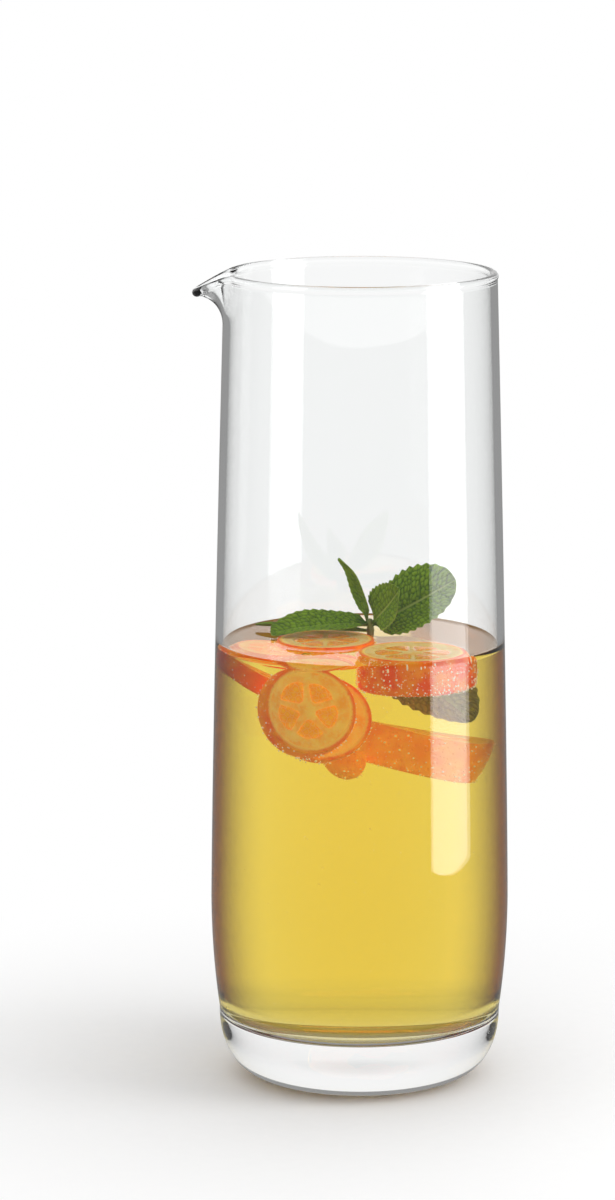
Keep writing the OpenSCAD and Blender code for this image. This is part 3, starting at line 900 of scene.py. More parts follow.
@dataclass
class Slice:
    """A slice of kumquat: a ring of peel, pith with membranes, and pulp between them."""

    name: str
    radius: float
    thickness: float
    segments: int
    seed: int
    soak: Soak = Soak.SOAKED
    cut: float = 0.0
    soft: float = 0.5 * MM
    bubbles: int = 100
    fruit_half: float = 21 * MM
    peel: float = 1.7 * MM
    membrane: float = 0.9 * MM
    core: float = 1.6 * MM
    reach_share: float = 0.8
    crisp: float = 0.3 * MM
    dent_depth: float = 0.14 * MM
    dent_size: float = 7 * MM
    skin_inset: float = 0.06 * MM
    pore_depth: float = 0.06 * MM
    pore_size: float = 0.55 * MM
    pith_gap: float = 0.02 * MM
    groove_depth: float = 0.28 * MM
    groove_reach: float = 0.9 * MM
    dish_depth: float = 0.22 * MM
    ripple_depth: float = 0.10 * MM
    ripple_size: float = 1.6 * MM
    pulp_inset: float = 0.04 * MM
    pulp_sink: float = 0.42 * MM
    plump_height: float = 0.32 * MM
    plump_reach: float = 1.5 * MM
    sac_depth: float = 0.10 * MM
    sac_length: float = 2.4 * MM
    around: int = 220
    place: Matrix = field(default_factory=lambda: Matrix.Identity(4))

    def __post_init__(self) -> None:
        """Takes the slice's place from its joint."""
        joint = next(j for j in frame["joints"] if j["child"] == self.name)
        axis = Vector(joint["axis"]).normalized()
        lean = math.acos(max(-1.0, min(1.0, axis.z)))
        heading = math.atan2(axis.y, axis.x) if lean > 1e-6 else 0.0
        turn = Matrix.Rotation(heading, 4, "Z") @ Matrix.Rotation(lean, 4, "Y")
        self.place = Matrix.Translation(Vector(joint["pos_m"])) @ turn
        self.noise = Lattice(self.seed)

    def fruit(self, along: Any) -> Any:
        """Gives the radius of the fruit at a distance from the slice's middle."""
        return self.radius * np.sqrt(1 - ((along + self.cut) / self.fruit_half) ** 2)

    @property
    def rim(self) -> float:
        """Gives the radius inside the peel at the narrower face."""
        half = self.thickness / 2
        return min(self.fruit(-half), self.fruit(half)) - self.peel

    def turned_out(self, ways: Points) -> Points:
        """Turns directions from the slice's own frame to its place."""
        return np.asarray(ways, float) @ np.array(self.place.to_3x3()).T

    def placed(self, points: Points) -> Points:
        """Moves points from the slice's own frame to its place."""
        return self.turned_out(points) + np.array(self.place.translation)

    def settled(self, piece: Piece, kind: str) -> None:
        """Puts a piece on the slice's body in place of its solid."""
        settle(piece, self.name, kind, f"{self.name}_{kind}")

    def rind(self) -> tuple[Points, np.ndarray]:
        """Gives the outline of the ring of peel, from its lower inside edge round its skin.

        Returns:
            Radius and height of each point, and how much of the orange skin shows there.
        """
        half, edge, soft = self.thickness / 2, self.crisp, self.soft
        turn = np.linspace(0, math.pi / 2, 7)
        rise = np.linspace(-half + soft, half - edge, max(10, int(self.thickness / (0.4 * MM))))
        side = np.stack([self.fruit(rise), rise], 1)
        upper = side[-1] - [edge, 0] + edge * np.stack([np.cos(turn), np.sin(turn)], 1)[1:]
        lower = side[0] - [soft, 0] + soft * np.stack([np.cos(turn), -np.sin(turn)], 1)[:0:-1]
        share = np.linspace(0, 1, 6)
        floor = mix(np.array([self.fruit(-half) - self.peel, -half]), lower[0], share[:-1, None])
        roof = mix(upper[-1], np.array([self.fruit(half) - self.peel, half]), share[1:, None])
        back = np.linspace(half, -half, 6)[1:-1]
        inner = np.stack([self.fruit(back) - self.peel, back], 1)
        skin = np.ones(len(lower) + len(side) + len(upper))
        zest = np.concatenate([share[:-1], skin, 1 - share[1:], np.zeros(len(inner))])
        return np.concatenate([floor, lower, side, upper, roof, inner]), zest

    def peel_piece(self, finish: Material) -> None:
        """Builds the ring of peel, with dimpled pores and softened cut edges."""
        outline, zest = self.rind()
        grid = lathe(outline, self.around).reshape(-1, 3)
        shown = np.repeat(zest, self.around)
        dent = self.dent_depth * self.noise(grid / self.dent_size) - self.skin_inset
        # The pores read the noise 11 patches further on, so that they don't follow the dents.
        dent -= self.pore_depth * np.clip(self.noise(grid / self.pore_size + 11.0) - 0.2, 0, None)
        away = grid * np.array([1.0, 1.0, 0.0])
        away /= np.linalg.norm(away, axis=1)[:, None]
        grid = grid + (dent * (shown > 0.99))[:, None] * away
        draft = MeshDraft()
        first = draft.add(self.placed(grid))
        draft.sheet(len(outline), self.around, first, closed=True)
        end = first + (len(outline) - 1) * self.around
        for j in range(self.around):
            k = (j + 1) % self.around
            draft.faces.append((end + j, end + k, first + k, first + j))
        self.settled(draft.make(f"{self.name}_peel_skin", finish, marks={"zest": shown}), "peel")

    def wedge(self, number: int, inset: float) -> Points:
        """Gives the outline of one segment of pulp.

        Args:
            number: Which segment it is.
            inset: How much smaller it is made all round.

        Returns:
            Points of the outline in the plane of the slice.
        """
        half = math.pi / self.segments
        drawn = np.random.default_rng(self.seed * 31 + number)
        reach = self.rim * self.reach_share * drawn.uniform(0.9, 1.0) - inset
        start = self.core * drawn.uniform(1.0, 1.5) + inset
        arc = half - math.asin((self.membrane / 2 + inset) / reach)
        arc *= drawn.uniform(0.86, 1.0)
        tip = np.array([start, 0.0])
        left, right = polar(reach, -arc), polar(reach, arc)
        bulge = 0.05 * reach

        def flank(begin: Points, end: Points, out: float) -> list[Points]:
            """Gives one long side, which bulges a little."""
            return [mix(begin, end, s) + bulge * math.sin(math.pi * s) * np.array([0.2, out]) * 0.4
                    for s in np.linspace(0.12, 0.88, 9)]

        outline = flank(tip, left, -1.0)
        outline += [polar(reach * (1 - 0.10 * abs(a / arc) ** 3), a)
                    for a in np.linspace(-arc, arc, 15) * 0.93]
        outline += flank(right, tip, 1.0)
        turn = 2 * half * number
        spin = np.array([[math.cos(turn), -math.sin(turn)], [math.sin(turn), math.cos(turn)]])
        return np.array(outline) @ spin.T

    @staticmethod
    def within(points: Points, outline: Points) -> np.ndarray:
        """Tells which points lie inside an outline."""
        x, y = points[:, 0], points[:, 1]
        inside = np.zeros(len(points), bool)
        for a, b in zip(outline, np.roll(outline, -1, 0)):
            cross = (a[1] > y) != (b[1] > y)
            with np.errstate(divide="ignore", invalid="ignore"):
                at = (b[0] - a[0]) * (y - a[1]) / (b[1] - a[1]) + a[0]
            inside ^= cross & (x < at)
        return inside

    @staticmethod
    def apart(points: Points, outline: Points) -> np.ndarray:
        """Gives the distance of each point from an outline."""
        best = np.full(len(points), np.inf)
        for a, b in zip(outline, np.roll(outline, -1, 0)):
            along = b - a
            share = np.clip((points - a) @ along / max(along @ along, 1e-18), 0, 1)
            best = np.minimum(best, np.linalg.norm(points - a - share[:, None] * along, axis=1))
        return best

    def plate(self, outlines: Sequence[Points], hollow: Sequence[Points], spacing: float,
              crown: Callable[[Points, int], np.ndarray], name: str,
              finish: Material) -> Piece:
        """Builds flat pieces with a shaped top and bottom.

        Args:
            outlines: The outline of each piece, in the plane of the slice.
            hollow: Outlines that are left open in every piece.
            spacing: The distance between the points inside.
            crown: Gives the height at places of the top, or of the bottom for side -1.
            name: The name of the whole piece.
            finish: Its material.

        Returns:
            The object.
        """
        draft = MeshDraft()
        drawn = np.random.default_rng(self.seed + 5)
        for outline in outlines:
            size = np.abs(outline).max() + spacing
            steps = np.arange(-size, size, spacing)
            dots = np.stack(np.meshgrid(steps, steps), 2).reshape(-1, 2)
            dots += drawn.uniform(-0.25, 0.25, dots.shape) * spacing
            clear = 0.45 * spacing
            keep = self.within(dots, outline) & (self.apart(dots, outline) > clear)
            for gap in hollow:
                keep &= ~self.within(dots, gap) & (self.apart(dots, gap) > clear)
            rings = [outline, *hollow]
            edges, begin = [], 0
            for ring in rings:
                edges += [(begin + i, begin + (i + 1) % len(ring)) for i in range(len(ring))]
                begin += len(ring)
            flat = np.concatenate([*rings, dots[keep]])
            made = delaunay_2d_cdt([Vector(p) for p in flat], edges, [], 0, 1e-9)
            spots = np.array([(p.x, p.y) for p in made[0]])
            faces = np.array([f for f in made[2] if len(f) == 3])
            middle = spots[faces].mean(1)
            solid = self.within(middle, outline)
            for gap in hollow:
                solid &= ~self.within(middle, gap)
            faces = faces[solid]
            top = np.column_stack([spots, crown(spots, 1)])
            bottom = np.column_stack([spots, crown(spots, -1)])
            first = draft.add(self.placed(np.concatenate([top, bottom])))
            count = len(spots)
            links: dict[tuple[int, int], None] = {}
            for a, b, c in faces.tolist():
                draft.faces.append((first + a, first + b, first + c))
                draft.faces.append((first + count + c, first + count + b, first + count + a))
                links.update(dict.fromkeys(((a, b), (b, c), (c, a))))
            for a, b in links:
                if (b, a) not in links:
                    draft.faces.append((first + b, first + a, first + count + a, first + count + b))
        piece = draft.make(name, finish, sharp=62.0)
        work = bmesh.new()
        work.from_mesh(piece.data)
        loose = [v for v in work.verts if not v.link_faces]
        bmesh.ops.delete(work, geom=loose, context="VERTS")
        work.to_mesh(piece.data)
        work.free()
        return piece

    def pith_piece(self, finish: Material) -> None:
        """Builds the pith, open where the segments of pulp lie."""
        half, rim, turn = self.thickness / 2, self.rim - self.pith_gap, full_turn(120)
        gaps = [self.wedge(k, 0.0) for k in range(self.segments)]
        outline = np.stack([rim * np.cos(turn), rim * np.sin(turn)], 1)

        def crown(spots: Points, side: int) -> np.ndarray:
            """Gives the height of a face that sinks at the gaps and is dished and rippled."""
            away = np.linalg.norm(spots, axis=1) / rim
            near = np.min([self.apart(spots, g) for g in gaps], axis=0)
            height = half - self.groove_depth * (1 - np.clip(near / self.groove_reach, 0, 1)) ** 2
            layer = np.full(len(spots), side * 3.0)
            height += self.ripple_depth * self.noise(np.column_stack([spots / self.ripple_size, layer]))
            return side * (height - self.dish_depth * np.sin(math.pi * np.clip(away, 0, 1)))

        self.settled(self.plate([outline], gaps, 0.75 * MM, crown, f"{self.name}_pith_disc", finish), "pith")

    def pulp_piece(self, finish: Material) -> None:
        """Builds the segments of pulp, plump and made of small sacs."""
        half = self.thickness / 2
        outlines = [self.wedge(k, self.pulp_inset) for k in range(self.segments)]

        def crown(spots: Points, side: int) -> np.ndarray:
            """Gives the height of a plump face whose sacs run outwards."""
            near = np.min([self.apart(spots, o) for o in outlines], axis=0)
            plump = self.plump_height * np.sin(math.pi / 2 * np.clip(near / self.plump_reach, 0, 1))
            angle = np.arctan2(spots[:, 1], spots[:, 0])
            away = np.linalg.norm(spots, axis=1)
            layer = np.full(len(spots), side * 5.0)
            sacs = self.noise(np.column_stack([away / self.sac_length, angle * 7.0, layer]))
            return side * (half - self.pulp_sink + plump + self.sac_depth * sacs)

        self.settled(self.plate(outlines, [], 0.5 * MM, crown, f"{self.name}_pulp_segments", finish), "pulp")

    def build(self, peel: Material, pith: Material, pulp: Material) -> None:
        """Builds the slice's three pieces."""
        self.peel_piece(peel)
        self.pith_piece(pith)
        self.pulp_piece(pulp)

    def bubble_seats(self, count: int, drawn: np.random.Generator) -> Points:
        """Gives places on the outside of the peel and on its lower edge where bubbles sit.

        Args:
            count: How many places are wanted.
            drawn: Where the random numbers come from.

        Returns:
            Places in metres, then the direction away from the peel, one a row.
        """
        half = self.thickness / 2
        along = mix(-half, half, drawn.uniform(0, 1, count) ** 1.7)
        turn = drawn.uniform(0, 2 * math.pi, count)
        away = np.stack([np.cos(turn), np.sin(turn), np.zeros(count)], 1)
        spots = away * self.fruit(along)[:, None] + np.stack([along * 0, along * 0, along], 1)
        return np.concatenate([self.placed(spots), self.turned_out(away)], 1)


@dataclass
class FruitEnd(Slice):
    """The small rounded end of a fruit, cut flat below its dome of peel."""

    pulp_radius_share: float = 0.72
    pulp_height_share: float = 0.35
    plug_gap: float = 0.03 * MM
    plug_pore_depth: float = 0.12 * MM

    @property
    def plug(self) -> tuple[float, float]:
        """Gives the radius and the height of the hollow for the plug of pulp."""
        return self.pulp_radius_share * (self.radius - self.peel), self.pulp_height_share * self.thickness

    def dome(self, inset: float, rows: int) -> Points:
        """Gives the outline of the dome, made smaller by inset, from its edge to near its tip."""
        turn = np.linspace(0, math.pi / 2, rows)[:-1]
        return np.stack([(self.radius - inset) * np.cos(turn), (self.thickness - inset) * np.sin(turn)], 1)

    def turned(self, outline: Points, name: str, finish: Material, tips: Sequence[float],
               dent: float = 0.0, zest: float = 0.0) -> Piece:
        """Turns an outline about the fruit's axis.

        Args:
            outline: Radius and height of each point.
            name: The piece's name.
            finish: Its material.
            tips: Heights of the points that close its two ends.
            dent: The depth of the pores.
            zest: How much of the orange skin shows.

        Returns:
            The object.
        """
        grid = lathe(outline, 120)
        flat = grid.reshape(-1, 3)
        if dent:
            pores = np.clip(self.noise(flat / self.pore_size), 0, None)
            flat = flat * (1 - dent * pores / self.radius)[:, None]
        draft = MeshDraft()
        draft.tube(self.placed(flat).reshape(grid.shape), [self.placed([[0, 0, tip]]) for tip in tips])
        return draft.make(name, finish, sharp=70.0, marks={"zest": np.full(draft.count, zest)})

    def peel_piece(self, finish: Material) -> None:
        """Builds the dome of peel."""
        outline = np.concatenate([self.dome(self.peel, 12)[::-1], self.dome(0, 18)])
        tips = (self.thickness - self.peel, self.thickness)
        piece = self.turned(outline, f"{self.name}_peel_skin", finish, tips, self.pore_depth, 1.0)
        self.settled(piece, "peel")

    def pith_piece(self, finish: Material) -> None:
        """Builds the pith under the dome, hollow where the pulp lies."""
        reach, depth = self.plug
        inset = self.peel + self.pith_gap
        hollow = np.array([[reach * 0.5, depth], [reach * 0.95, depth], [reach, depth * 0.9],
                           [reach, 0.2 * MM], [reach + 0.2 * MM, 0.0]])
        outline = np.concatenate([hollow, self.dome(inset, 12)])
        tips = (depth, self.thickness - inset)
        self.settled(self.turned(outline, f"{self.name}_pith_disc", finish, tips), "pith")

    def pulp_piece(self, finish: Material) -> None:
        """Builds the plug of pulp in the cut face."""
        reach, depth = (size - self.plug_gap for size in self.plug)
        outline = np.array([[reach * 0.3, 0.02 * MM], [reach * 0.7, 0.05 * MM],
                            [reach * 0.95, 0.15 * MM], [reach, 0.35 * MM], [reach, depth * 0.9],
                            [reach * 0.93, depth], [reach * 0.4, depth]])
        piece = self.turned(outline, f"{self.name}_pulp_segments", finish, (0.0, depth), self.plug_pore_depth)
        self.settled(piece, "pulp")

    def bubble_seats(self, count: int, drawn: np.random.Generator) -> Points:
        """Gives places on the outside of the dome where bubbles sit, and the way out from them."""
        turn, up = drawn.uniform(0, 2 * math.pi, count), drawn.uniform(0, 1.3, count)
        spots = np.stack([self.radius * np.cos(up) * np.cos(turn), self.radius * np.cos(up) * np.sin(turn),
                          self.thickness * np.sin(up)], 1)
        away = spots / np.linalg.norm(spots, axis=1)[:, None]
        return np.concatenate([self.placed(spots), self.turned_out(away)], 1)


@dataclass
class Drink:
    """The golden drink, with its climbing edge and its small bubbles."""

    vessel: Vessel
    slices: Sequence[Slice]
    level: float = 133.5 * MM
    edge_height: float = 0.5 * MM
    edge_width: float = 2.2 * MM
    overlap: float = 0.1 * MM
    ring_height: float = 0.3 * MM
    ring_width: float = 0.9 * MM
    around: int = 240
    free_bubbles: int = 260
    bubble_margin: float = 0.3 * MM
    lowest_wall: float = 30 * MM
    row_step: float = 0.6 * MM
    seed: int = 7

    def rise(self, spots: Points) -> np.ndarray:
        """Gives how far the surface climbs near the glass and round what floats in it."""
        away = np.linalg.norm(spots, axis=1)
        rim = self.vessel.inside(self.level) - away
        up = self.edge_height * np.clip(1 - rim / self.edge_width, 0, 1) ** 2.2
        for one in self.slices:
            middle = np.array(one.place.translation)
            if middle[2] + one.thickness / 2 < self.level or one.place.to_3x3()[2][2] < 0.99:
                continue
            gap = np.linalg.norm(spots - middle[:2], axis=1) - one.fruit(one.thickness / 2)
            ring = self.ring_height * np.exp(-np.abs(gap) / self.ring_width)
            up = np.maximum(up, ring)
        return up

    def seats(self) -> list[tuple[Points, float]]:
        """Gives the places and sizes of the bubbles, none touching another or the surface."""
        drawn = np.random.default_rng(self.seed)
        seats = []
        for one in self.slices:
            for row in one.bubble_seats(one.bubbles, drawn):
                size = mix(0.10, 0.34, drawn.uniform() ** 2.4) * MM
                seats.append((row[:3] + row[3:] * size * 0.8, size))
        for _ in range(self.free_bubbles):
            turn, share = drawn.uniform(0, 2 * math.pi), math.sqrt(drawn.uniform())
            z = mix(self.vessel.floor + 2 * MM, self.level, drawn.uniform() ** 0.6)
            radius = share * (self.vessel.inside(max(z, self.lowest_wall)) - 4 * MM)
            size = mix(0.05, 0.13, drawn.uniform() ** 2) * MM
            seats.append((np.array([*polar(radius, turn), z]), size))
        kept: list[tuple[Points, float]] = []
        for spot, size in seats:
            wall = self.vessel.inside(max(spot[2], self.lowest_wall)) - np.linalg.norm(spot[:2])
            if spot[2] > self.level - size - self.bubble_margin or wall < size + self.bubble_margin:
                continue
            if all(np.linalg.norm(spot - other) > size + wide + 0.02 * MM for other, wide in kept):
                kept.append((spot, size))
        return kept

    def build_bubbles(self, finish: PaintedGlintBubble) -> None:
        """Builds the small bubbles that cling to the slices and hang in the drink."""
        ball = bmesh.new()
        bmesh.ops.create_icosphere(ball, subdivisions=2, radius=1.0)
        shell = np.array([v.co for v in ball.verts])
        faces = [tuple(v.index for v in f.verts) for f in ball.faces]
        ball.free()
        draft = MeshDraft()
        for spot, size in self.seats():
            draft.add(spot + size * shell, faces)
        settle(draft.make("drink_bubbles", finish.make()), "pitcher", "drink")

    def build(self, finish: GoldenDrink) -> None:
        """Builds the drink as one closed skin."""
        vessel = self.vessel
        corner_height = vessel.floor + vessel.corner
        turn = np.linspace(math.pi / 2, 0, 16)
        hub, bend = vessel.inside(corner_height) - vessel.corner, vessel.corner + self.overlap
        low = np.stack([hub + bend * np.cos(turn), corner_height - bend * np.sin(turn)], 1)
        low = np.concatenate([[[hub * 0.5, vessel.floor - self.overlap]], low])
        top = self.level + self.edge_height
        rise = np.linspace(corner_height, top, 56)[1:]
        side = np.stack([vessel.inside(rise) + self.overlap, rise], 1)
        edge = vessel.inside(self.level)
        inward = np.concatenate([edge - self.edge_width * np.linspace(0.02, 1, 12),
                                 np.arange(edge - self.edge_width - self.row_step, 0.5 * MM, -self.row_step)])
        outline = np.concatenate([low, side, np.stack([inward, np.full(len(inward), self.level)], 1)])
        grid = lathe(outline, self.around)
        upper = grid[len(low) + len(side):].reshape(-1, 3)
        upper[:, 2] += self.rise(upper[:, :2])
        grid[len(low) + len(side):] = upper.reshape(len(inward), self.around, 3)
        draft = MeshDraft()
        draft.tube(grid, [(0, 0, vessel.floor - self.overlap), (0, 0, self.level)])
        settle(draft.make("golden_drink_body", finish.make()), "pitcher", "drink", "drink")


@dataclass
class Leaf:
    """A toothed leaf of mint, puffed up between its veins."""

    node: str
    length: float
    width: float
    bend: float
    turn: tuple[float, float, float]
    up: float
    age: LeafAge
    form: LeafForm
    seed: int
    puff: float = 0.65 * MM
    thick: float = 0.6 * MM
    fold: float = math.radians(16)
    teeth: int = 11
    tooth_share: float = 0.085
    tooth_rise: float = 0.68
    tooth_fall: float = 0.32
    cell_size: float = 1.5 * MM
    seat_gap: float = 0.3 * MM
    stalk_half: float = 0.35 * MM
    hook_reach: float = 0.9 * MM
    hook_share: float = 0.08
    wave_height: float = 0.35 * MM
    rib_height: float = 0.25 * MM
    rows: int = 140
    columns: int = 36

    def half_width(self, along: np.ndarray) -> np.ndarray:
        """Gives half the width at shares of the length, with the teeth of the edge."""
        broadest, roundness, stalk = self.form.value
        body = np.maximum(0, np.sin(math.pi * np.clip(along, 0, 1) ** broadest)) ** roundness
        step = along * self.teeth % 1.0
        tooth = np.where(step < self.tooth_rise, step / self.tooth_rise, (1 - step) / self.tooth_fall)
        shape = np.minimum(1, along / stalk) * body * (1 - self.tooth_share * (1 - tooth))
        return np.maximum(0.06, shape) * self.width / 2

    def puffs(self, along: np.ndarray, across: np.ndarray) -> np.ndarray:
        """Gives how far the blade swells between its veins, from 0 to 1."""
        side = np.abs(across)
        lead = along - VEIN_SLANT * side ** 1.2
        flat = np.column_stack([lead * self.length, across * self.half_width(along)])
        sway = Lattice(self.seed)(np.column_stack([flat / (3 * MM), np.sign(across)]))
        ridge = np.clip(2.4 * np.abs(np.sin(math.pi * (lead * VEIN_COUNT + 0.16 * sway))), 0, 1)
        swayed = flat + 0.35 * MM * sway[:, None]
        fine = Quilt(self.seed + 40, 0.48 * self.cell_size)(swayed)
        cell = Quilt(self.seed, self.cell_size)(swayed) * (0.6 + 0.4 * fine)
        middle = 1 - np.exp(-(side / 0.05) ** 2)
        return (0.1 + 0.9 * cell) * (0.35 + 0.65 * ridge) * middle * np.clip(along / 0.1, 0, 1)

    def blade(self, side: int) -> tuple[Points, np.ndarray]:
        """Gives the points of the upper or lower skin, with their swelling.

        Args:
            side: 1 for the upper skin, -1 for the lower one.

        Returns:
            Points in the leaf's own frame, and how far each is puffed.
        """
        along = np.repeat(np.linspace(0, 1, self.rows + 1), 2 * self.columns + 1)
        share = np.linspace(-1, 1, 2 * self.columns + 1)
        across = np.tile(np.sign(share) * np.abs(share) ** 0.9, self.rows + 1)
        half = self.half_width(along)
        puff = self.puffs(along, across)
        bend = math.radians(self.bend)
        turn = bend * along
        reach = self.length * np.sin(turn) / bend
        rise = self.length * (1 - np.cos(turn)) / bend
        thick = self.thick * mix(1.0, 0.35, np.abs(across) ** 3) * mix(1.0, 0.5, along)
        rib = np.exp(-(across / 0.07) ** 2) * self.rib_height * (1 - along)
        rib *= 1.0 if side > 0 else 1.6
        lift = np.abs(across) * half * math.sin(self.fold) + side * thick / 2
        lift += self.puff * (puff - 0.4) * (1 - np.abs(across) ** 8) - rib
        lift += self.wave_height * np.sin(along * 9.0 + self.seed) * np.abs(across) ** 2
        points = np.stack([reach - lift * np.sin(turn), across * half * math.cos(self.fold),
                           rise + lift * np.cos(turn)], 1)
        return points, puff

    def build(self, foot: Vector, stem: "Stem", finish: Material) -> None:
        """Builds the leaf as one closed skin, on its place at the stem.

        Args:
            foot: The foot of the stem.
            stem: The stem that carries it.
            finish: The leaf's material.
        """
        roll, pitch, heading = (math.radians(a) for a in self.turn)
        off = stem.radius_at(self.up / stem.length) + self.seat_gap + self.stalk_half
        base = foot + Vector((off * math.cos(heading), off * math.sin(heading), self.up))
        place = np.array(Euler((roll, pitch, heading), "XYZ").to_matrix())
        draft = MeshDraft()
        columns = 2 * self.columns + 1
        upper, puff = self.blade(1)
        lower, _ = self.blade(-1)
        along = np.repeat(np.linspace(0, 1, self.rows + 1), columns)
        hook = np.array([-self.hook_reach, 0, 0]) * (np.clip(1 - along / self.hook_share, 0, 1) ** 2)[:, None]
        first, second = (draft.add((skin + hook) @ place.T + np.array(base)) for skin in (upper, lower))
        for start in (first, second):
            draft.sheet(self.rows + 1, columns, start)
        rim = [i * columns for i in range(self.rows + 1)]
        rim += [self.rows * columns + j for j in range(1, columns)]
        rim += [i * columns + columns - 1 for i in range(self.rows - 1, -1, -1)]
        rim += list(range(columns - 2, 0, -1))
        for a, b in zip(rim, rim[1:] + rim[:1]):
            draft.faces.append((first + a, first + b, second + b, second + a))
        piece = draft.make(self.node.replace("mint_", "mint_puffed_"), finish,
                           marks={"puff": np.concatenate([puff, puff])})
        self.unroll(piece.data, columns)
        settle(piece, "sprig", "mint_leaf", self.node)

    def unroll(self, mesh: bpy.types.Mesh, columns: int) -> None:
        """Writes the unrolled place of each point onto the mesh."""
        layer = mesh.uv_layers.new(name="UVMap")
        corners = np.zeros(len(mesh.loops), np.int32)
        mesh.loops.foreach_get("vertex_index", corners)
        spot = corners % ((self.rows + 1) * columns)
        flat = np.stack([spot // columns / self.rows, spot % columns / (columns - 1)], 1)
        layer.data.foreach_set("uv", flat.astype(np.float32).ravel())


@dataclass
class Stem:
    """The short four-edged stem of the sprig."""

    length: float = 9 * MM
    radius: float = 1.1 * MM
    taper_share: float = 0.7
    knots: tuple = ((0.62, 0.22), (0.86, 0.12))
    edge_share: float = 0.10
    sway: float = 0.18 * MM
    rows: int = 40
    around: int = 32

    def radius_at(self, share: float) -> float:
        """Gives the radius at a share of the stem's length."""
        return mix(self.radius, self.taper_share * self.radius, share)

    def build(self, foot: Vector, finish: Material) -> None:
        """Builds the stem as one closed skin with its knots."""
        share, turn = np.linspace(0, 1, self.rows), full_turn(self.around)
        knot = 1
        for height, swell in self.knots:
            knot = knot + swell * np.exp(-((share - height) / 0.08) ** 2)
        ease = np.clip(np.minimum(share, 1 - share) / 0.03, 0.35, 1) ** 0.5
        size = self.radius_at(share) * knot * ease
        edge = 1 + self.edge_share * np.cos(4 * turn)
        sway = self.sway * np.sin(math.pi * share)
        grid = np.stack([size[:, None] * edge * np.cos(turn) + sway[:, None],
                         size[:, None] * edge * np.sin(turn),
                         np.repeat(share[:, None] * self.length, self.around, 1)], 2)
        draft = MeshDraft()
        draft.tube(grid + np.array(foot), [foot, foot + Vector((0, 0, self.length))])
        settle(draft.make("mint_ribbed_stem", finish), "sprig", "mint_stem", "mint_stem")


@dataclass
class Sprig:
    """The sprig of mint: a stem with its leaves."""

    stem: Stem = field(default_factory=Stem)

    def leaves(self) -> list[Leaf]:
        """Gives the sprig's leaves."""
        grown, young, sunken = LeafAge.GROWN, LeafAge.YOUNG, LeafAge.SUNKEN
        full, blunt, slender = LeafForm.FULL, LeafForm.BLUNT, LeafForm.SLENDER
        return [
            Leaf("mint_left_leaf", 29 * MM, 15 * MM, -14, (-16, -2, 188), 7.5 * MM, grown, blunt, 21),
            Leaf("mint_broad_leaf", 29 * MM, 22 * MM, 12, (54, -27, -8), 7.5 * MM, grown, full, 22),
            Leaf("mint_slim_leaf", 23 * MM, 7.5 * MM, 50, (-100, -87, 135), 8.1 * MM, young, slender, 23,
                 0.3 * MM),
            Leaf("mint_young_leaf", 17 * MM, 15 * MM, 20, (74, -42, -37), 8.4 * MM, young, slender, 24,
                 0.32 * MM),
            Leaf("mint_rear_leaf", 35 * MM, 6 * MM, 1, (0, 1, 165), 5.6 * MM, grown, slender, 25,
                 0.25 * MM),
            Leaf("mint_hanging_leaf", 30 * MM, 19 * MM, 8, (-90, 48, -13), 1.8 * MM, sunken, slender, 26)]

    def build(self) -> None:
        """Builds the stem and the leaves where their solids are."""
        low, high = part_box("mint_stem")
        foot = Vector(((low.x + high.x) / 2, (low.y + high.y) / 2, low.z))
        self.stem.build(foot, MintStemSkin().make(low.z, high.z))
        finishes = (
            # Each leaf finish gives its painted light on the puffed tops, its painted shade in the grooves,
            # then its vein colour. The sunken leaf's colours are lightened, painted light that makes up for
            # the shade it lies in under the front slice.
            MintLeafSkin(LeafAge.GROWN, (0.26, 0.43, 0.02), (0.045, 0.115, 0.002), (0.46, 0.58, 0.12)),
            MintLeafSkin(LeafAge.YOUNG, (0.24, 0.40, 0.02), (0.08, 0.17, 0.006), (0.50, 0.60, 0.12), 0.4),
            MintLeafSkin(LeafAge.SUNKEN, (0.52, 0.56, 0.13), (0.26, 0.30, 0.06), (0.46, 0.50, 0.14)))
        skins = {finish.age: finish.make() for finish in finishes}
        for leaf in self.leaves():
            leaf.build(foot, self.stem, skins[leaf.age])


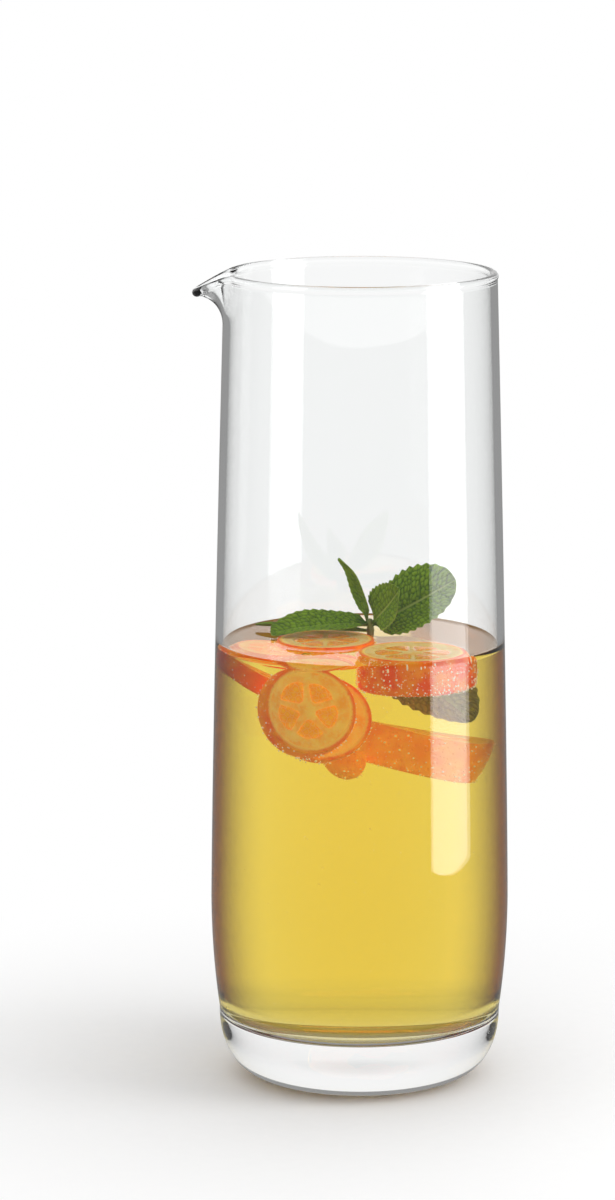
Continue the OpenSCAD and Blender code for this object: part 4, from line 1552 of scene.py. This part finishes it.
@dataclass
class Studio:
    """A pale floor, a white surround that is dimmer overhead, and a soft lamp."""

    floor_size: float = 3.0
    floor_drop: float = 0.0003
    fade_start: float = 0.05
    fade_end: float = 0.22
    surround: float = 0.95
    dome_stops: tuple = ((0.0, 1.0), (0.3, 1.0), (0.5, 0.3), (1.0, 0.08))
    # Painted shadow: seen through glass, the floor's white is greyer near the glass, standing in for the
    # shadow the glass casts there.
    painted_shadow_stops: tuple = ((0.0, 0.6), (0.15, 0.75), (0.4, 0.97), (1.0, 1.0))
    painted_shadow_reach: float = 0.3
    # Painted shade: in reflections after few walls the floor shows only this dim grey, standing in for darker
    # surroundings and giving the glass darker lines.
    mirrored: float = 0.3
    paint: tuple = (0.90, 0.93)
    grain_size: float = 0.004
    lamp_name: str = "right_softbox"
    lamp_side: float = math.radians(73.0)
    lamp_distance: float = 0.35
    lamp_size: tuple = (0.22, 0.5)
    lamp_height: float = 0.25
    lamp_power: float = 1.0
    lens: float = 144.0
    sensor: float = 36.0
    camera_place: tuple = (0.0, -1.4175, 0.411)
    camera_tilt: float = 0.185
    camera_turn: float = math.atan(53.5 / 4800)

    @staticmethod
    def ramp(tree: ShaderTree, share: Value,
             levels: Sequence[tuple[float, float]]) -> Socket:
        """Turns a share from 0 to 1 into a grey by the levels given for it."""
        stops = [(place, (bright,) * 3) for place, bright in levels]
        return tree.node("ShaderNodeValToRGB", {"stops": stops}, {0: share}).outputs[0]

    @staticmethod
    def rays(tree: ShaderTree) -> tuple[Value, Value, Value]:
        """Tells apart the kinds of rays that meet the floor or the surround.

        Args:
            tree: Where the nodes go.

        Returns:
            1 for rays from the camera, for rays mirrored after few walls, and for all rays
            mirrored or bent by glass, each 0 otherwise.
        """
        path = tree.node("ShaderNodeLightPath")
        seen, glossy, through, scattered, mirrors, walls = (Value(tree, path.outputs[name]) for name in (
            "Is Camera Ray", "Is Glossy Ray", "Is Transmission Ray", "Diffuse Depth", "Glossy Depth",
            "Transmission Depth"))
        clear = scattered.fade(0.6, 0.4)
        mirrored = mirrors.fade(0.4, 0.6) * walls.fade(4.6, 4.4)
        return seen, mirrored * clear, glossy.largest(through) * clear

    def world(self) -> None:
        """Makes the surround: white to the camera and in glass, dimmer overhead, even as light."""
        world = bpy.data.worlds.new("surround")
        bpy.context.scene.world = world
        tree = ShaderTree(world)
        seen, _, bent = self.rays(tree)
        way = tree.node("ShaderNodeTexCoord").outputs["Generated"]
        dome = self.ramp(tree, tree.component(way, 2), self.dome_stops)
        lit = tree.blend(bent, (self.surround,) * 3, dome)
        shown = tree.blend(seen, lit, (1.0, 1.0, 1.0))
        light = tree.node("ShaderNodeBackground", None, {"Color": shown, "Strength": 1.0})
        tree.node("ShaderNodeOutputWorld", None, {"Surface": light.outputs[0]})

    def floor(self) -> None:
        """Makes the pale floor, which turns into plain white away from the glass; seen through glass it
        carries a painted shadow near the glass, and seen in reflections a dim grey of painted shade.
        """
        radii = np.concatenate([np.linspace(0.05, 0.6, 12), [1.2, self.floor_size]])
        draft = MeshDraft()
        draft.tube(lathe(np.stack([radii, np.full(len(radii), -self.floor_drop)], 1), 96),
                   [(0, 0, -self.floor_drop)])
        tree = ShaderTree.material("pale_floor")
        away = tree.value("ShaderNodeVectorMath", {"operation": "LENGTH"}, {0: tree.place()}, "Value")
        seen, mirrored, bent = self.rays(tree)
        grain = tree.noise(self.grain_size, 3.0)
        dull, bright = ((level,) * 3 for level in self.paint)
        paint = tree.node("ShaderNodeBsdfPrincipled", None,
                          {"Base Color": tree.blend(grain, dull, bright), "Roughness": 0.7})
        # Painted shadow: rays through glass see the floor greyer near the glass.
        through = self.ramp(tree, away / self.painted_shadow_reach, self.painted_shadow_stops)
        # Painted shade: mirrored rays see only the dim grey.
        in_glass = tree.blend(mirrored, through, (self.mirrored,) * 3)
        white = tree.node("ShaderNodeEmission", None,
                          {"Color": tree.blend(bent, (1.0, 1.0, 1.0), in_glass)})
        share = (seen * away.fade(self.fade_start, self.fade_end)).largest(bent)
        both = tree.node("ShaderNodeMixShader", None,
                         {0: share, 1: paint.outputs[0], 2: white.outputs[0]})
        tree.node("ShaderNodeOutputMaterial", None, {"Surface": both.outputs[0]})
        draft.make("pale_floor", tree.owner)

    def lamp(self) -> None:
        """Adds the soft lamp, which stands to the right and faces the glass."""
        light = bpy.data.lights.new(self.lamp_name, "AREA")
        light.shape = "RECTANGLE"
        light.size, light.size_y = self.lamp_size
        light.energy = self.lamp_power
        lamp = bpy.data.objects.new(self.lamp_name, light)
        lamp.location = (self.lamp_distance * math.sin(self.lamp_side),
                         -self.lamp_distance * math.cos(self.lamp_side), self.lamp_height)
        aim = Vector((0, 0, self.lamp_height)) - lamp.location
        lamp.rotation_euler = aim.to_track_quat("-Z", "Y").to_euler()
        bpy.context.scene.collection.objects.link(lamp)

    def camera(self) -> None:
        """Sets the camera where the photograph was taken from."""
        data = bpy.data.cameras.new("view")
        data.lens, data.sensor_width = self.lens, self.sensor
        camera = bpy.data.objects.new("view", data)
        camera.location = self.camera_place
        camera.rotation_euler = (math.pi / 2 - self.camera_tilt, 0.0, self.camera_turn)
        bpy.context.scene.collection.objects.link(camera)
        bpy.context.scene.camera = camera

    def build(self) -> None:
        """Sets the camera, the surround, the floor and the lamp, and lets light cross many walls."""
        scene = bpy.context.scene
        scene.view_settings.view_transform = "Standard"
        scene.cycles.max_bounces = 32
        scene.cycles.glossy_bounces = 16
        scene.cycles.transmission_bounces = 24
        self.camera()
        self.world()
        self.floor()
        self.lamp()


def fruit_slices() -> list[Slice]:
    """Gives the slices of kumquat and the fruit's end."""
    return [
        Slice("front_float", 16.2 * MM, 10.5 * MM, 6, 3, Soak.AFLOAT, soft=1.3 * MM, bubbles=900),
        Slice("rear_float", 14.8 * MM, 6 * MM, 6, 4, Soak.AFLOAT, bubbles=60),
        Slice("upright", 13.6 * MM, 7 * MM, 5, 5, cut=2 * MM, bubbles=170),
        Slice("tucked", 13 * MM, 6 * MM, 5, 6),
        Slice("leaning", 11.6 * MM, 6 * MM, 5, 8, bubbles=150),
        Slice("sunk", 14 * MM, 12 * MM, 6, 9, Soak.SUNKEN, bubbles=360),
        FruitEnd("end_cap", 5 * MM, 7 * MM, 1, 10, Soak.SUNKEN, bubbles=40)]


def fruit_finishes() -> dict[Soak, tuple[Material, ...]]:
    """Gives the materials of peel, pith and pulp, with other colours for the fruit that lies in the drink,
    which also shines more: painted light standing in for light scattered in the drink.
    """
    soaked = Soak.SOAKED
    floating = tuple(kind().make() for kind in (KumquatPeel, SpongyPith, JuicyPulp))
    # Painted light: the fruit in the drink shines more, making up for the dimmer light there.
    peel = KumquatPeel(soaked, (0.94, 0.17, 0.003), (0.98, 0.36, 0.008), painted_glow=0.26).make()
    pith = SpongyPith(soaked, (0.95, 0.62, 0.12), (0.92, 0.44, 0.04), (0.97, 0.72, 0.25), painted_glow=0.28).make()
    pulp = JuicyPulp(soaked, (0.98, 0.50, 0.012), (0.95, 0.37, 0.005), painted_glow=0.30).make()
    paler_sunken_peel = KumquatPeel(Soak.SUNKEN, (0.94, 0.33, 0.02), (0.98, 0.48, 0.05), painted_glow=0.30).make()
    return {Soak.AFLOAT: floating, soaked: (peel, pith, pulp), Soak.SUNKEN: (paler_sunken_peel, pith, pulp)}


def main() -> None:
    """Builds every piece and the studio."""
    logging.basicConfig(level=logging.INFO, format="%(name)s: %(message)s")
    vessel = Vessel()
    vessel.build(ClearGlass())
    finishes = fruit_finishes()
    slices = fruit_slices()
    for one in slices:
        one.build(*finishes[one.soak])
    drink = Drink(vessel, slices)
    drink.build(GoldenDrink())
    drink.build_bubbles(PaintedGlintBubble())
    Sprig().build()
    Studio().build()


if __name__ == "__main__":
    main()
